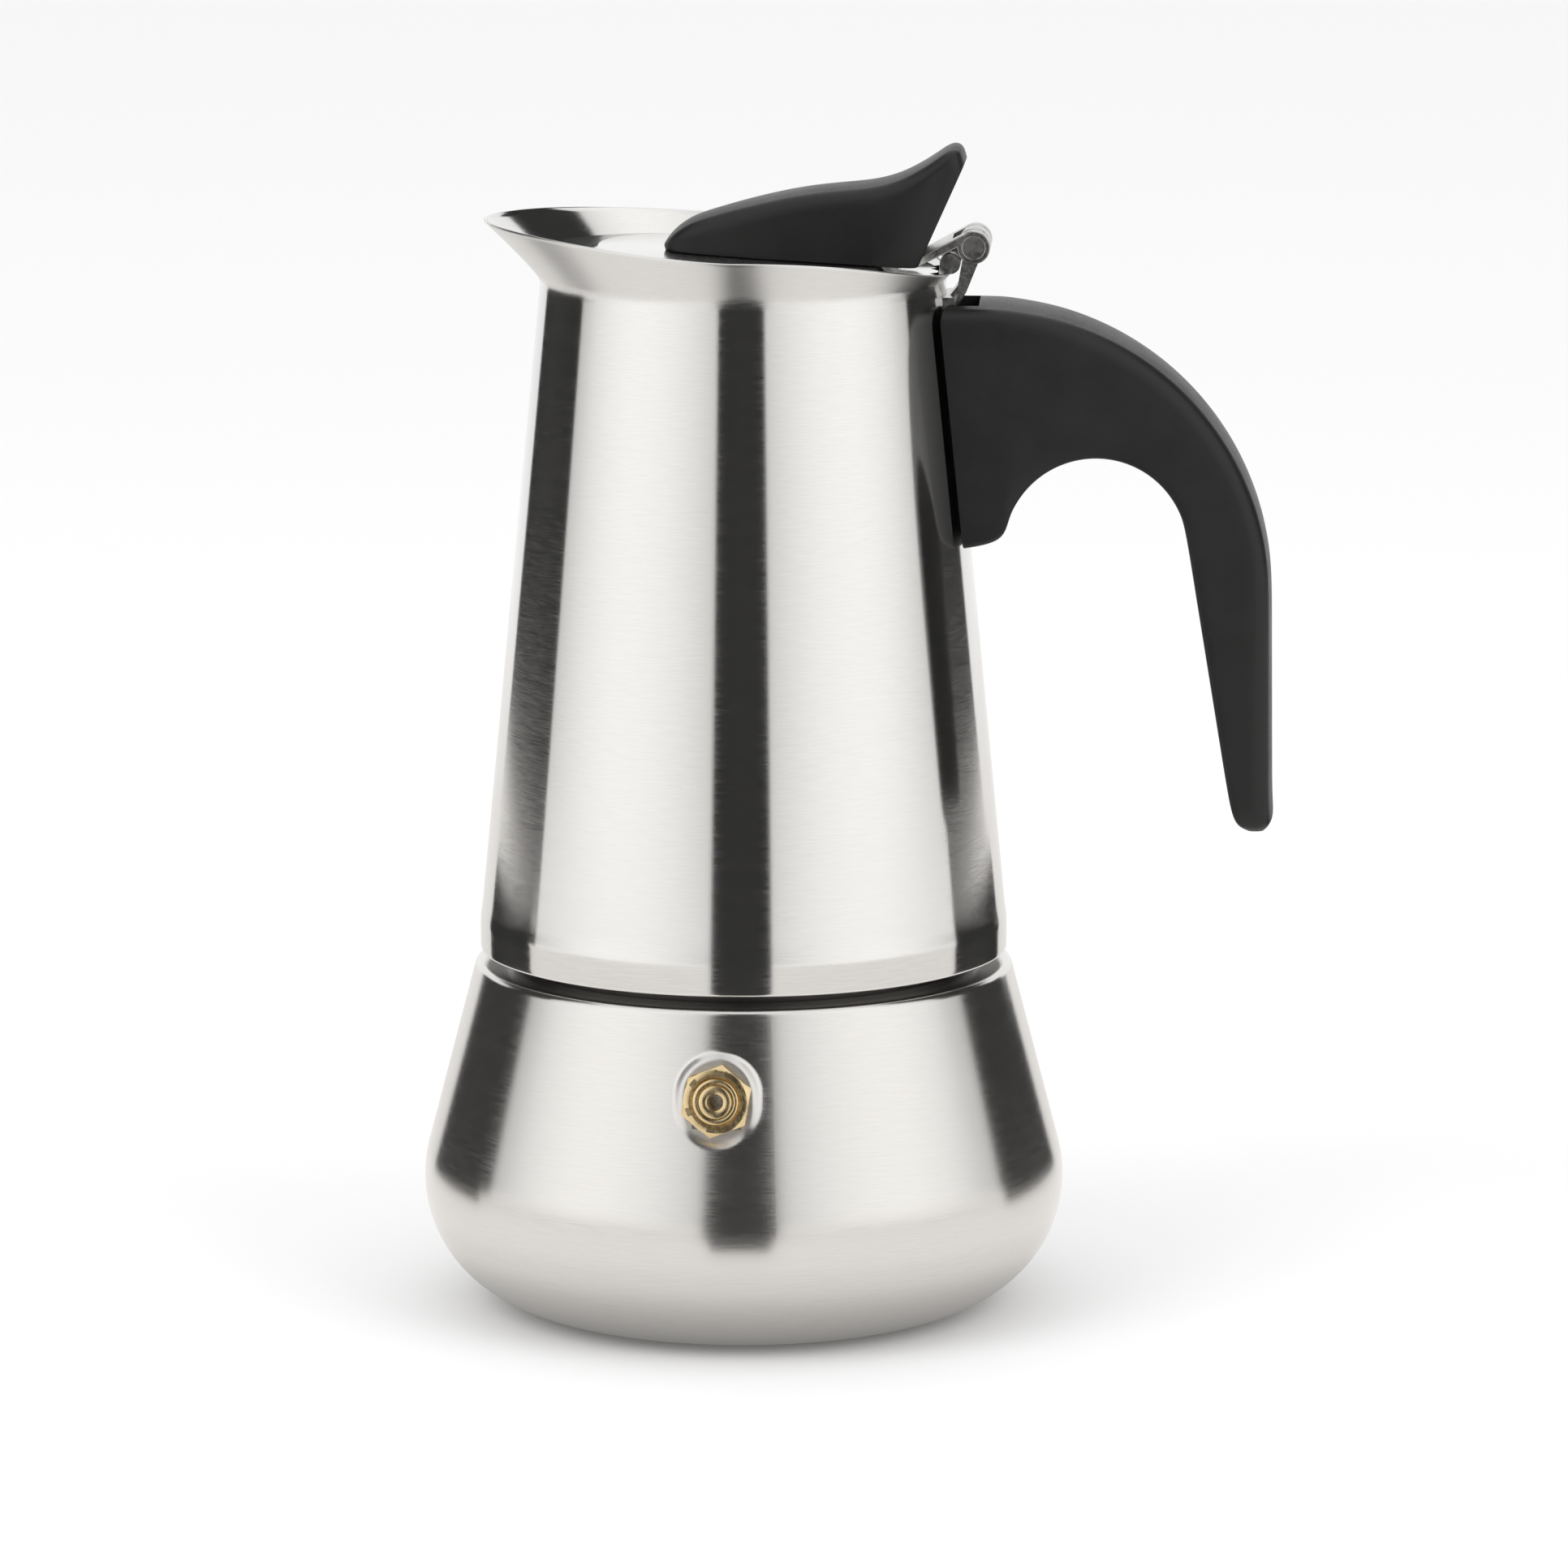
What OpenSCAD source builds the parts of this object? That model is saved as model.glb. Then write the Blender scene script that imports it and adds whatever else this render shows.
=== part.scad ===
// Stovetop moka pot: water boiler with a safety valve, coffee funnel, and a screwed-on
// collector with a flared pouring collar, a hinged lid and an arched handle.
// Origin: centre of the flat base. +Z up, +X towards the handle, -X towards the spout.

/* [Boiler] */
// Radius of the boiler at its belly
belly_r = 51.9; // [47:0.1:63]
// Radius of the round between the flat base and the wall
belly_round = 20.8; // [16:0.1:24]
// Height of the boiler up to its shoulder
boiler_h = 56.5; // [50:0.1:70]
// Sheet thickness of the boiler
boiler_wall = 0.9; // [0.7:0.1:1.2]
// Outer radius of the rounded shoulder edge
shoulder_round = 1.3; // [1.2:0.1:3]
// How far the shoulder stands out past the collector above it
shoulder_step = 0.65; // [0:0.05:3]

/* [Thread and seam] */
// Open gap between the boiler's shoulder and the collector's bottom edge
seam_gap = 1.9; // [1.3:0.1:3]
// Height of the threaded neck above the shoulder
neck_h = 10.5; // [10:0.1:14]
// Radial room between the collector's wall and the root of the thread
thread_room = 4.9; // [4.4:0.1:8]
// Thread pitch
pitch = 4; // [3:0.5:5]
// Height of the thread ridge
thread_h = 1; // [0.6:0.1:1.2]
// Radial clearance between the two threads
thread_gap = 0.25; // [0.2:0.05:0.5]
// Wall of the neck under the thread
neck_wall = 2.1; // [1.6:0.1:3]

/* [Funnel and seal] */
// Radial clearance between the coffee basket and the neck
basket_gap = 0.6; // [0.4:0.1:1.5]
// Depth of the coffee basket
basket_h = 22; // [16:0.5:26]
// Sheet thickness of the basket, the stem and the screens
funnel_wall = 0.6; // [0.5:0.1:1]
// Inner radius of the funnel's stem
stem_bore_r = 4; // [3:0.1:5]
// Height of the stem's lower end above the outside of the base
stem_end = 6.5; // [4:0.5:10]
// Thickness of the gasket
gasket_h = 3; // [2.4:0.1:4]
// Inner radius of the gasket
gasket_bore_r = 27; // [24:0.1:29]

/* [Collector] */
// Radius of the collector at its bottom band
band_r = 42.62; // [38:0.01:48]
// Height of the upright band along the collector's bottom edge
band_h = 4.8; // [4:0.1:8]
// Height of the collector from its bottom edge to the crease under the collar
collector_h = 108.8; // [88:0.1:130]
// Radius of the collector at the crease
crease_r = 32.45; // [31:0.1:36]
// Sheet thickness of the collector
shell_wall = 0.8; // [0.6:0.1:1]
// Height of the coffee column above the collector's floor
column_h = 56; // [40:1:66]
// Inner radius of the coffee column
column_bore_r = 4; // [3.5:0.1:5]

/* [Collar and spout] */
// Sheet thickness of the flared collar
collar_wall = 0.6; // [0.5:0.1:0.7]
// Outward flare of the rim at the sides
side_flare = 1.8; // [1:0.1:4]
// Outward flare of the rim at the back
back_flare = 0.9; // [0.8:0.1:3]
// Reach of the spout's tip beyond the crease
spout_reach = 9.1; // [6:0.1:14]
// Half angle over which the spout opens
spout_width = 39; // [28:1:48]
// Height of the spout's tip above the crease
spout_h = 9.2; // [8:0.1:13]
// Height of the rim at the sides above the crease
side_h = 6.1; // [5.5:0.1:7.5]
// Height of the rim at the back above the crease
back_h = 1.1; // [0.8:0.1:2]

/* [Lid] */
// Radial gap between the lid and the collar at the crease
lid_gap = 0.3; // [0.3:0.1:1]
// Tilt of the closed lid, higher at the spout
lid_tilt = 3.3; // [2:0.1:4]
// Height of the lid's edge above the crease, on the pot's axis
lid_lift = 3; // [2.6:0.1:3.6]
// Height of the raised middle of the lid
plateau_h = 1.1; // [0.8:0.1:1.6]
// Radius of the raised middle of the lid
plateau_r = 23.5; // [20:0.1:26]
// Sheet thickness of the lid
lid_wall = 0.7; // [0.6:0.1:0.9]
// Half width of the knob
knob_half_w = 8.5; // [7:0.1:10]
// Height of the knob's thumb tip above the lid's edge plane
knob_h = 20.7; // [16:0.1:24]

/* [Hinge] */
// Radius of the hinge pin
pin_r = 1.75; // [1.4:0.05:1.8]
// Sheet thickness of the hinge leaf and the bracket
leaf_t = 0.8; // [0.6:0.1:1]
// Width of the hinge
hinge_w = 12.7; // [11:0.1:15]
// Distance of the hinge pin outside the crease
hinge_out = 4.6; // [4.4:0.1:6]
// Height of the hinge pin above the crease
hinge_up = 5.8; // [5.4:0.1:7]
// Radial running clearance of the hinge pin in the bracket's knuckle
pin_gap = 0.06; // [0.03:0.01:0.1]
// Gap between neighbouring knuckles
knuckle_gap = 0.3; // [0.2:0.05:0.5]

/* [Handle] */
// Reach of the handle beyond the crease
grip_reach = 52.5; // [46:0.1:62]
// Overall height of the handle
handle_h = 84.8; // [74:0.1:104]
// Radius of the handle's outer curve
grip_round = 46.4; // [40:0.1:47]
// Radius of the finger arch
arch_r = 14.6; // [13:0.1:15]
// Half width of the handle at the pot
handle_half_w = 11; // [10.5:0.1:13]
// Half width of the grip
grip_half_w = 10; // [8.5:0.1:11]
// Gap between the handle and the collector
saddle_gap = 0.8; // [0.3:0.1:1]
// Radius of the handle's screw
handle_screw_r = 2; // [1.8:0.1:2.2]

/* [Safety valve] */
// Width of the valve's hexagon across its flats
valve_flats = 10.2; // [9:0.1:11]
// Thickness of the hexagon
valve_head_h = 2.2; // [2:0.1:3]
// Radius of the valve's shank
valve_shank_r = 4; // [3.8:0.1:4.4]
// Distance of the valve's centre below the shoulder
valve_drop = 13.7; // [12:0.1:17]
// How many degrees nearer level the valve points than the wall behind it
valve_tilt = 6.6; // [0.6:0.1:12.6]
// Direction of the valve around the pot
valve_turn = -91.9; // [-150:0.1:-60]
// Lift of the valve's plunger before the vent is fully open
valve_lift = 1.2; // [0.6:0.1:1.4]

/* [Hidden] */
$fn = 96;
eps = 0.01;

steel = [0.80, 0.80, 0.79];
inner_steel = [0.70, 0.70, 0.70];
brass = [0.80, 0.62, 0.28];
black = [0.13, 0.13, 0.13];
rubber = [0.86, 0.84, 0.80];

// Boiler outline
shoulder_r = band_r + shoulder_step;
foot_r = belly_r - belly_round;
to_shoulder = [shoulder_r - foot_r, boiler_h - belly_round];
lean = atan2(to_shoulder[1], to_shoulder[0]) - acos(belly_round / norm(to_shoulder));

// Thread, neck and seal
seam_z = boiler_h + seam_gap;
lip_z = boiler_h + neck_h;
root_r = band_r - shell_wall - thread_room;
crest_r = root_r + thread_h;
neck_r = root_r - 0.3;
neck_bore_r = root_r - neck_wall;
socket_r = crest_r + thread_gap;
male_z = [boiler_h + 1, lip_z - 1];
female_z = [seam_z + 0.9, lip_z + 0.9];
thread_run = 1.2;
flange_r = root_r - 0.1;
gasket_z = lip_z + funnel_wall;
gasket_step = 2.2;
floor_z = gasket_z + gasket_h + 0.1;
floor_t = 1.2;
plate_r = gasket_bore_r + 3.2;

// Collector
crease_z = seam_z + collector_h;
band_top = seam_z + band_h;
blend_h = 3.6;
band_step = 0.12;
cone_z0 = band_top + blend_h;
cone_r0 = band_r - band_step - blend_h * 0.09;
cone_slope = (cone_r0 - crease_r) / (crease_z - cone_z0);
inner_floor = floor_z + floor_t;
column_top = inner_floor + column_h;

// Lid and hinge, in the lid's own plane: [distance along X, height]
lid_r = crease_r - collar_wall - lid_gap;
lid_z = crease_z + lid_lift;
hinge_x = crease_r + hinge_out;
hinge_z = crease_z + hinge_up;
knuckle_r = pin_r + pin_gap + leaf_t;
stalk_half_w = 3;
ear_in = stalk_half_w + knuckle_gap;
ear_out = hinge_w / 2;
curl_r = 1.65;
curl_c = [crease_r + back_flare - 0.05, crease_z + back_h + curl_r + 0.45];
knob_screw_x = [-2, 15];
knob_screw_r = 1.5;

// Handle
handle_top = crease_z - 3.2;
grip_x = crease_r + grip_reach;
curve_c = [grip_x - grip_round, handle_top - grip_round];
arch_c = [curve_c[0] + 18.2, curve_c[1] + 7.6];
leg_lean = 9.5;
handle_end = handle_top - handle_h;
screw_z = arch_c[1] + 8.2;
boss_len = 2.4;
boss_r = handle_screw_r + 1.5;

// Valve
valve_z = boiler_h - valve_drop;
valve_flat = -0.35;
valve_pad_r = 6.3;
valve_pad_up = 1.25;
valve_pad_t = boiler_wall + 1.2;
shank_len = boiler_wall + 5.2;
chamber_r = 2.5;
vent_r = 1.25;
hex_turn = -9;
plunger_r = chamber_r - 0.25;
seat_h = 1.6;

// ---- shared shapes ----

function arc(c, r, a0, a1, n) =
    [for (i = [0:n]) let (a = a0 + (a1 - a0) * i / n) c + r * [cos(a), sin(a)]];
function mix(a, b, t) = a + (b - a) * t;
function clamp01(t) = max(0, min(1, t));
function boiler_wall_r(z) = shoulder_r + (boiler_h - z) * tan(lean);
function cone_r(z) = cone_r0 - (z - cone_z0) * cone_slope;

// Closed solid through a row of rings that all have the same number of points
module loft(rings) {
    m = len(rings[0]);
    last = len(rings) - 1;
    sides = [for (i = [0:last - 1], j = [0:m - 1]) let (k = (j + 1) % m)
        each [[i * m + j, i * m + k, (i + 1) * m + k],
              [i * m + j, (i + 1) * m + k, (i + 1) * m + j]]];
    ends = [[for (j = [m - 1:-1:0]) j], [for (j = [0:m - 1]) last * m + j]];
    polyhedron([for (ring = rings) each ring], concat(sides, ends));
}

// Closed ring through a row of loops, each loop one cross-section of the ring, anticlockwise
// with its radius to the right and its height upwards, at rising angles
module ring_loft(loops) {
    n = len(loops);
    m = len(loops[0]);
    faces = [for (i = [0:n - 1], j = [0:m - 1]) let (a = (i + 1) % n, k = (j + 1) % m)
        each [[i * m + j, i * m + k, a * m + k],
              [i * m + j, a * m + k, a * m + j]]];
    polyhedron([for (l = loops) each l], faces);
}

// Rounded box section between an outer and an inner point, [x, z] each
function section(o, i, w, ro, ri, crown) =
    let (len = norm(i - o), t = (i - o) / len,
         c = min(crown, 0.1 * len),
         a = min(ro, 0.42 * len, w * 0.6), b = min(ri, 0.3 * len, w * 0.5),
         uy = concat([[0, 0]],
            arc([c + a, w - a], a, 180, 90, 3), arc([len - b, w - b], b, 90, 0, 2),
            arc([len - b, b - w], b, 0, -90, 2), arc([c + a, a - w], a, -90, -180, 3)))
    [for (p = uy) [o[0] + t[0] * p[0], p[1], o[1] + t[1] * p[0]]];

// Side outline [x, z] carried across the pot's middle plane, and on both sides of it
module across(half_w) {
    translate([0, half_w, 0]) rotate([90, 0, 0]) linear_extrude(2 * half_w) children();
}
module beside(from, to) {
    for (y = [to, -from])
        translate([0, y, 0]) rotate([90, 0, 0]) linear_extrude(to - from) children();
}

// ---- boiler ----

module boiler_outline(inset) {
    edge = shoulder_round - inset;
    edge_z = boiler_h - shoulder_round;
    edge_x = boiler_wall_r(edge_z) - shoulder_round / cos(lean);
    polygon(concat([[0, inset]],
        arc([foot_r, belly_round], belly_round - inset, -90, lean, 16),
        arc([edge_x, edge_z], edge, lean, 90, 4), [[0, boiler_h - inset]]));
}

// Stands at the centre of the flat pressed into the wall, its +Z along the valve
module at_valve() {
    rotate([0, 0, valve_turn])
        translate([boiler_wall_r(valve_z), 0, valve_z])
            rotate([0, 90 - lean + valve_tilt, 0])
                translate([0, 0, -valve_flat])
                    children();
}

module valve_pad(r, h) {
    for (side = [-1, 1])
        translate([side * valve_pad_up, 0, 0]) cylinder(r = r, h = h);
    translate([-valve_pad_up, -r, 0]) cube([2 * valve_pad_up, 2 * r, h]);
}

module boiler_shell() {
    color(steel) difference() {
        union() {
            rotate_extrude() boiler_outline(0);
            at_valve() translate([0, 0, -valve_pad_t]) valve_pad(valve_pad_r, valve_pad_t);
        }
        difference() {
            rotate_extrude() boiler_outline(boiler_wall);
            at_valve() translate([0, 0, -valve_pad_t]) valve_pad(valve_pad_r + 0.6, 5);
        }
        at_valve() valve_pad(valve_pad_r, 4);
        at_valve() translate([0, 0, -4]) cylinder(r = valve_shank_r + 0.1, h = 6);
        translate([0, 0, boiler_h - 4]) cylinder(r = neck_r, h = 8);
    }
}

// Fraction of a pitch from the middle of the ridge at this angle and height
function phase(a, z) = let (u = (z - boiler_h) / pitch - a / 360) u - floor(u + 0.5);
function ridge(u, flat, foot) = clamp01((foot - abs(u)) / (foot - flat));
function run_in(z, span) = clamp01(min(z - span[0], span[1] - z) / thread_run);
thread_sides = 60;
thread_rows = 22;
function around(r, a, z) = [r * cos(a), r * sin(a), z];

module boiler_neck_ring() {
    low = boiler_h - boiler_wall - 1.5;
    color(inner_steel) ring_loft([for (i = [0:thread_sides - 1])
        let (a = i * 360 / thread_sides)
        concat([around(neck_bore_r, a, lip_z), around(neck_bore_r, a, low),
                around(neck_r + 2, a, low), around(neck_r + 2, a, low + 1.5),
                around(neck_r, a, low + 1.5), around(neck_r, a, boiler_h)],
            [for (k = [0:thread_rows]) let (z = mix(male_z[0], male_z[1], k / thread_rows))
                around(root_r + thread_h * ridge(phase(a, z), 0.1, 0.28) * run_in(z, male_z),
                    a, z)],
            [around(neck_r, a, male_z[1] + 0.3), around(neck_r - 0.4, a, lip_z)])]);
}

// ---- safety valve ----

module valve_body() {
    color(brass) at_valve() difference() {
        union() {
            intersection() {
                rotate(hex_turn) cylinder(d = valve_flats / cos(30), h = valve_head_h, $fn = 6);
                cylinder(r1 = 8.2, r2 = valve_flats / 2 + 0.15, h = valve_head_h + 0.6);
            }
            translate([0, 0, valve_head_h - eps]) cylinder(r = 3.6, h = 0.5);
            translate([0, 0, valve_head_h - eps]) cylinder(r1 = 2.7, r2 = 2.4, h = 1.2);
            translate([0, 0, -shank_len]) cylinder(r = valve_shank_r, h = shank_len + eps);
        }
        translate([0, 0, -shank_len - 1]) cylinder(r = vent_r, h = shank_len + 8);
        translate([0, 0, -shank_len - 1]) cylinder(r = chamber_r, h = shank_len + 1.6);
    }
}

module valve_washer() {
    color(rubber) at_valve() translate([0, 0, -valve_pad_t - 0.8]) difference() {
        cylinder(r = valve_pad_r - 0.3, h = 0.8);
        translate([0, 0, -1]) cylinder(r = valve_shank_r + 0.05, h = 3);
    }
}

module valve_nut() {
    color(brass) at_valve() translate([0, 0, -valve_pad_t - 3.2]) difference() {
        cylinder(d = (valve_flats + 1) / cos(30), h = 2.4, $fn = 6);
        translate([0, 0, -1]) cylinder(r = valve_shank_r, h = 5);
    }
}

// Ring pressed into the inner end of the chamber; the plunger rests on it
module valve_seat() {
    color(brass) at_valve() translate([0, 0, -shank_len]) difference() {
        cylinder(r = chamber_r, h = seat_h);
        translate([0, 0, -1]) cylinder(r = 1.1, h = seat_h + 2);
    }
}

module valve_plunger() {
    color(steel) at_valve() translate([0, 0, -shank_len + seat_h]) {
        cylinder(r = plunger_r, h = 0.8);
        translate([0, 0, 0.8 - eps]) cylinder(r = 1.1, h = 1.5);
    }
}

module valve_spring() {
    wire = 0.22;
    coil_r = chamber_r - wire - 0.3;
    low = -shank_len + seat_h + 0.8 + wire;
    high = 0.6 - wire - 0.02;
    turns = 4;
    steps = 64;
    rings = [for (i = [0:steps]) let (a = 360 * turns * i / steps, z = mix(low, high, i / steps))
        [for (k = [0:5]) let (b = 60 * k, r = coil_r + wire * cos(b))
            [r * cos(a), r * sin(a), z + wire * sin(b)]]];
    color(steel) at_valve() loft(rings);
}

// ---- funnel, gasket and filter ----

cup_r = neck_bore_r - basket_gap;
cup_z = lip_z - basket_h;
cone_h = 11;
stem_r = stem_bore_r + funnel_wall;

module funnel_cup() {
    t = funnel_wall;
    color(inner_steel) rotate_extrude() polygon([
        [cup_r - t, lip_z + t], [flange_r, lip_z + t], [flange_r, lip_z],
        [cup_r, lip_z], [cup_r, cup_z], [stem_r + 1.5, cup_z - cone_h],
        [stem_r, cup_z - cone_h], [stem_r, cup_z - cone_h + 1],
        [cup_r - 2.5, cup_z], [cup_r - 2.5, cup_z + t], [cup_r - t, cup_z + t]]);
}

// Hexagonal grid of holes inside a circle
module holes(reach, step, r, h) {
    n = floor(reach / step) + 1;
    for (i = [-n:n], j = [-n:n]) {
        p = [step * (i + j / 2), step * j * sin(60)];
        if (norm(p) < reach && norm(p) > 0.1) translate([p[0], p[1], -1])
            cylinder(r = r, h = h + 2, $fn = 24);
    }
}

module funnel_screen() {
    color(inner_steel) translate([0, 0, cup_z + funnel_wall]) difference() {
        cylinder(r = cup_r - funnel_wall - 0.2, h = funnel_wall);
        holes(cup_r - 5, 7.5, 0.9, funnel_wall);
        translate([0, 0, -1]) cylinder(r = 0.9, h = 4, $fn = 24);
    }
}

module funnel_stem() {
    top = cup_z - cone_h + 1;
    color(inner_steel) difference() {
        translate([0, 0, stem_end]) cylinder(r = stem_r, h = top - stem_end);
        translate([0, 0, stem_end - 1]) cylinder(r = stem_bore_r, h = top - stem_end + 2);
        translate([-stem_r - 1, -1.2, stem_end - 1]) cube([2 * stem_r + 2, 2.4, 3]);
    }
}

module gasket() {
    z1 = gasket_z + gasket_step;
    color(rubber) rotate_extrude() polygon([
        [gasket_bore_r, gasket_z + 0.05], [root_r, gasket_z + 0.05],
        [root_r, gasket_z + gasket_h], [plate_r + 0.1, gasket_z + gasket_h],
        [plate_r + 0.1, z1], [gasket_bore_r, z1]]);
}

module filter_plate() {
    z1 = gasket_z + gasket_step;
    color(inner_steel) translate([0, 0, z1]) difference() {
        cylinder(r = plate_r, h = funnel_wall);
        holes(plate_r - 4, 6.5, 0.8, funnel_wall);
        translate([0, 0, -1]) cylinder(r = 0.8, h = 4, $fn = 24);
    }
}

// ---- collector ----

// Wall outline of the collector, moved inwards by inset, from the bottom edge up
function wall_line(inset) = [
    [band_r - inset, band_top], [band_r - inset - 0.05, band_top + 0.6],
    [cone_r0 - inset + 0.16, cone_z0 - 1.4], [cone_r0 - inset, cone_z0],
    [crease_r - inset, crease_z]];

function rim_r(a) =
    let (d = abs(180 - a), back = max(0, cos(a)))
    crease_r + mix(side_flare, back_flare, back)
        + (spout_reach - side_flare) * exp(-pow(d / spout_width, 1.7));
function rim_z(a) =
    let (c = cos(a))
    crease_z + (c < 0 ? mix(side_h, spout_h, pow(-c, 1.3)) : mix(side_h, back_h, pow(c, 2.2)));
collar_sides = 96;
collar_rows = 5;

// One loop through the collar's sheet at an angle: up the outside, down the inside
function collar_loop(a) =
    let (base = crease_r - (shell_wall - collar_wall) / 2 - 0.02,
         edge = rim_r(a), low = crease_z - 0.8)
    concat([around(base - collar_wall + 0.04, a, low), around(base, a, low)],
        [for (k = [0:collar_rows]) let (t = k / collar_rows)
            around(mix(base, edge, pow(t, 1.1)), a, mix(crease_z, rim_z(a), t))],
        [for (k = [collar_rows:-1:0]) let (t = k / collar_rows)
            around(mix(base, edge, pow(t, 1.1)) - collar_wall, a,
                mix(crease_z, rim_z(a), t) + (k == 0 ? 0.1 : 0.02))]);

module collector_shell() {
    edge = 0.55;
    turn = acos((shell_wall - edge) / edge) - 180;
    color(steel) union() {
        rotate_extrude() polygon(concat(
            arc([band_r - edge, seam_z + edge], edge, turn, 0, 6),
            wall_line(0),
            [for (i = [4:-1:0]) wall_line(shell_wall)[i]]));
        ring_loft([for (i = [0:collar_sides - 1]) collar_loop(i * 360 / collar_sides)]);
    }
}

module collector_base() {
    wall_in = band_r - shell_wall;
    lug = socket_r + 1.15;
    floor_r = cone_r(inner_floor) - shell_wall;
    color(inner_steel) ring_loft([for (i = [0:thread_sides - 1])
        let (a = i * 360 / thread_sides)
        concat([for (k = [thread_rows:-1:0])
                let (z = mix(female_z[0], female_z[1], k / thread_rows))
                around(root_r + thread_gap + thread_h * max(ridge(phase(a, z), 0.17, 0.36),
                    1 - run_in(z, female_z)), a, z)],
            [around(socket_r, a, seam_z + 0.5), around(wall_in, a, seam_z + 0.5),
             around(wall_in, a, seam_z + 1.5), around(lug, a, seam_z + 1.5),
             around(lug, a, floor_z + 0.2),
             around(cone_r(floor_z + 0.2) - shell_wall, a, floor_z + 0.2),
             around(floor_r, a, inner_floor), around(column_bore_r, a, inner_floor),
             around(column_bore_r, a, floor_z), around(socket_r, a, floor_z)])]);
}

module column_tube() {
    color(inner_steel) difference() {
        rotate_extrude() polygon([
            [column_bore_r, inner_floor], [column_bore_r + 4.5, inner_floor],
            [column_bore_r + 4.2, inner_floor + 0.8], [column_bore_r + 1.8, inner_floor + 2.4],
            [column_bore_r + 1.2, inner_floor + 6], [column_bore_r + 0.8, column_top],
            [column_bore_r, column_top]]);
        for (side = [-1, 1])
            translate([side > 0 ? 0 : -10, -1.5, column_top - 7]) cube([10, 3, 4]);
    }
}

module column_cap() {
    r = column_bore_r + 2;
    color(inner_steel) rotate_extrude() polygon([[0, column_top],
        [column_bore_r + 0.85, column_top], [column_bore_r + 0.85, column_top - 2.5],
        [r, column_top - 2.5], [r, column_top + 0.6], [r - 1.2, column_top + 1.8],
        [0, column_top + 2.4]]);
}

// ---- handle ----

// Solid that fills the collector's wall and everything inside it, grown by gap
module collector_core(gap) {
    rotate_extrude() polygon([[0, seam_z], [band_r + gap, seam_z],
        [band_r + gap, band_top], [cone_r0 + gap, cone_z0],
        [crease_r + gap, crease_z], [crease_r + gap, crease_z + 1], [0, crease_z + 1]]);
}

// Outer and inner point of each handle section, and its half width
leg_top = arch_c + arch_r * [cos(leg_lean), sin(leg_lean)];
function leg_inner(z) = [leg_top[0] + (leg_top[1] - z) * tan(leg_lean), z];
grip_bends = 12;
lobe_x = crease_r + (crease_z - arch_c[1]) * cone_slope + 0.3;
handle_stations = concat(
    [[[crease_r - 5, handle_top], [lobe_x - 5, arch_c[1] - 0.5], handle_half_w],
     [[crease_r + 3, handle_top + 0.05], [lobe_x + 1.4, arch_c[1] + 0.4], handle_half_w],
     [[curve_c[0] + 2, handle_top], [lobe_x + 5.1, arch_c[1] + 1.8], handle_half_w]],
    [for (i = [0:grip_bends]) let (t = i / grip_bends, u = pow(t, 1.15))
        [curve_c + grip_round * [cos(mix(84, 0, t)), sin(mix(84, 0, t))],
         arch_c + arch_r * [cos(mix(160, leg_lean, u)), sin(mix(160, leg_lean, u))],
         mix(handle_half_w, grip_half_w, clamp01(t * 1.6))]],
    [for (i = [1:4]) let (z = mix(curve_c[1], handle_end + 5.5, i / 4))
        [[grip_x + 0.1 * i, z], leg_inner(mix(leg_top[1], handle_end + 6.5, i / 4)),
         grip_half_w - 0.1 * i]],
    [[[grip_x + 0.6, handle_end + 2.4], [leg_inner(handle_end)[0] - 0.2, handle_end + 2.6],
      grip_half_w - 0.8],
     [[grip_x + 0.3, handle_end + 0.8], [leg_inner(handle_end)[0] + 0.8, handle_end + 0.9],
      grip_half_w - 1.6],
     [[grip_x - 0.7, handle_end], [leg_inner(handle_end)[0] + 2.2, handle_end],
      grip_half_w - 3]]);

module handle() {
    color(black) difference() {
        loft([for (s = handle_stations) section(s[0], s[1], s[2], 3, 0.9, 0.5)]);
        collector_core(saddle_gap);
        bracket_room(0.2);
        translate([0, 0, screw_z]) rotate([0, 90, 0]) {
            cylinder(r = boss_r + 0.2, h = boss_face + 0.1);
            cylinder(r = handle_screw_r + 0.15, h = head_seat + 0.1);
            translate([0, 0, head_seat])
                cylinder(r = 2 * handle_screw_r + 0.2, h = arch_c[0] - head_seat);
        }
    }
}

// Outline of the bracket seen from the side, [x, z]
strap_t = 1.4;
strap_low = screw_z - 6;
boss_face = cone_r(screw_z) + strap_t + boss_len;
head_seat = boss_face + 1.4;
module bracket_side(grow) {
    polygon([[cone_r(strap_low) - 2, strap_low - grow],
        [cone_r(strap_low) + strap_t + grow, strap_low - grow],
        [crease_r + strap_t + 0.2 + grow, crease_z - 2],
        [crease_r + strap_t + 0.4 + grow, crease_z + 2],
        [crease_r - 2, crease_z + 2], [crease_r - 2, crease_z - 2]]);
}

module bracket_room(gap) {
    w = ear_out + gap;
    across(w) bracket_side(gap);
    translate([0, -w, crease_z - 5.5]) cube([crease_r + 6, 2 * w, 9]);
}

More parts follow.
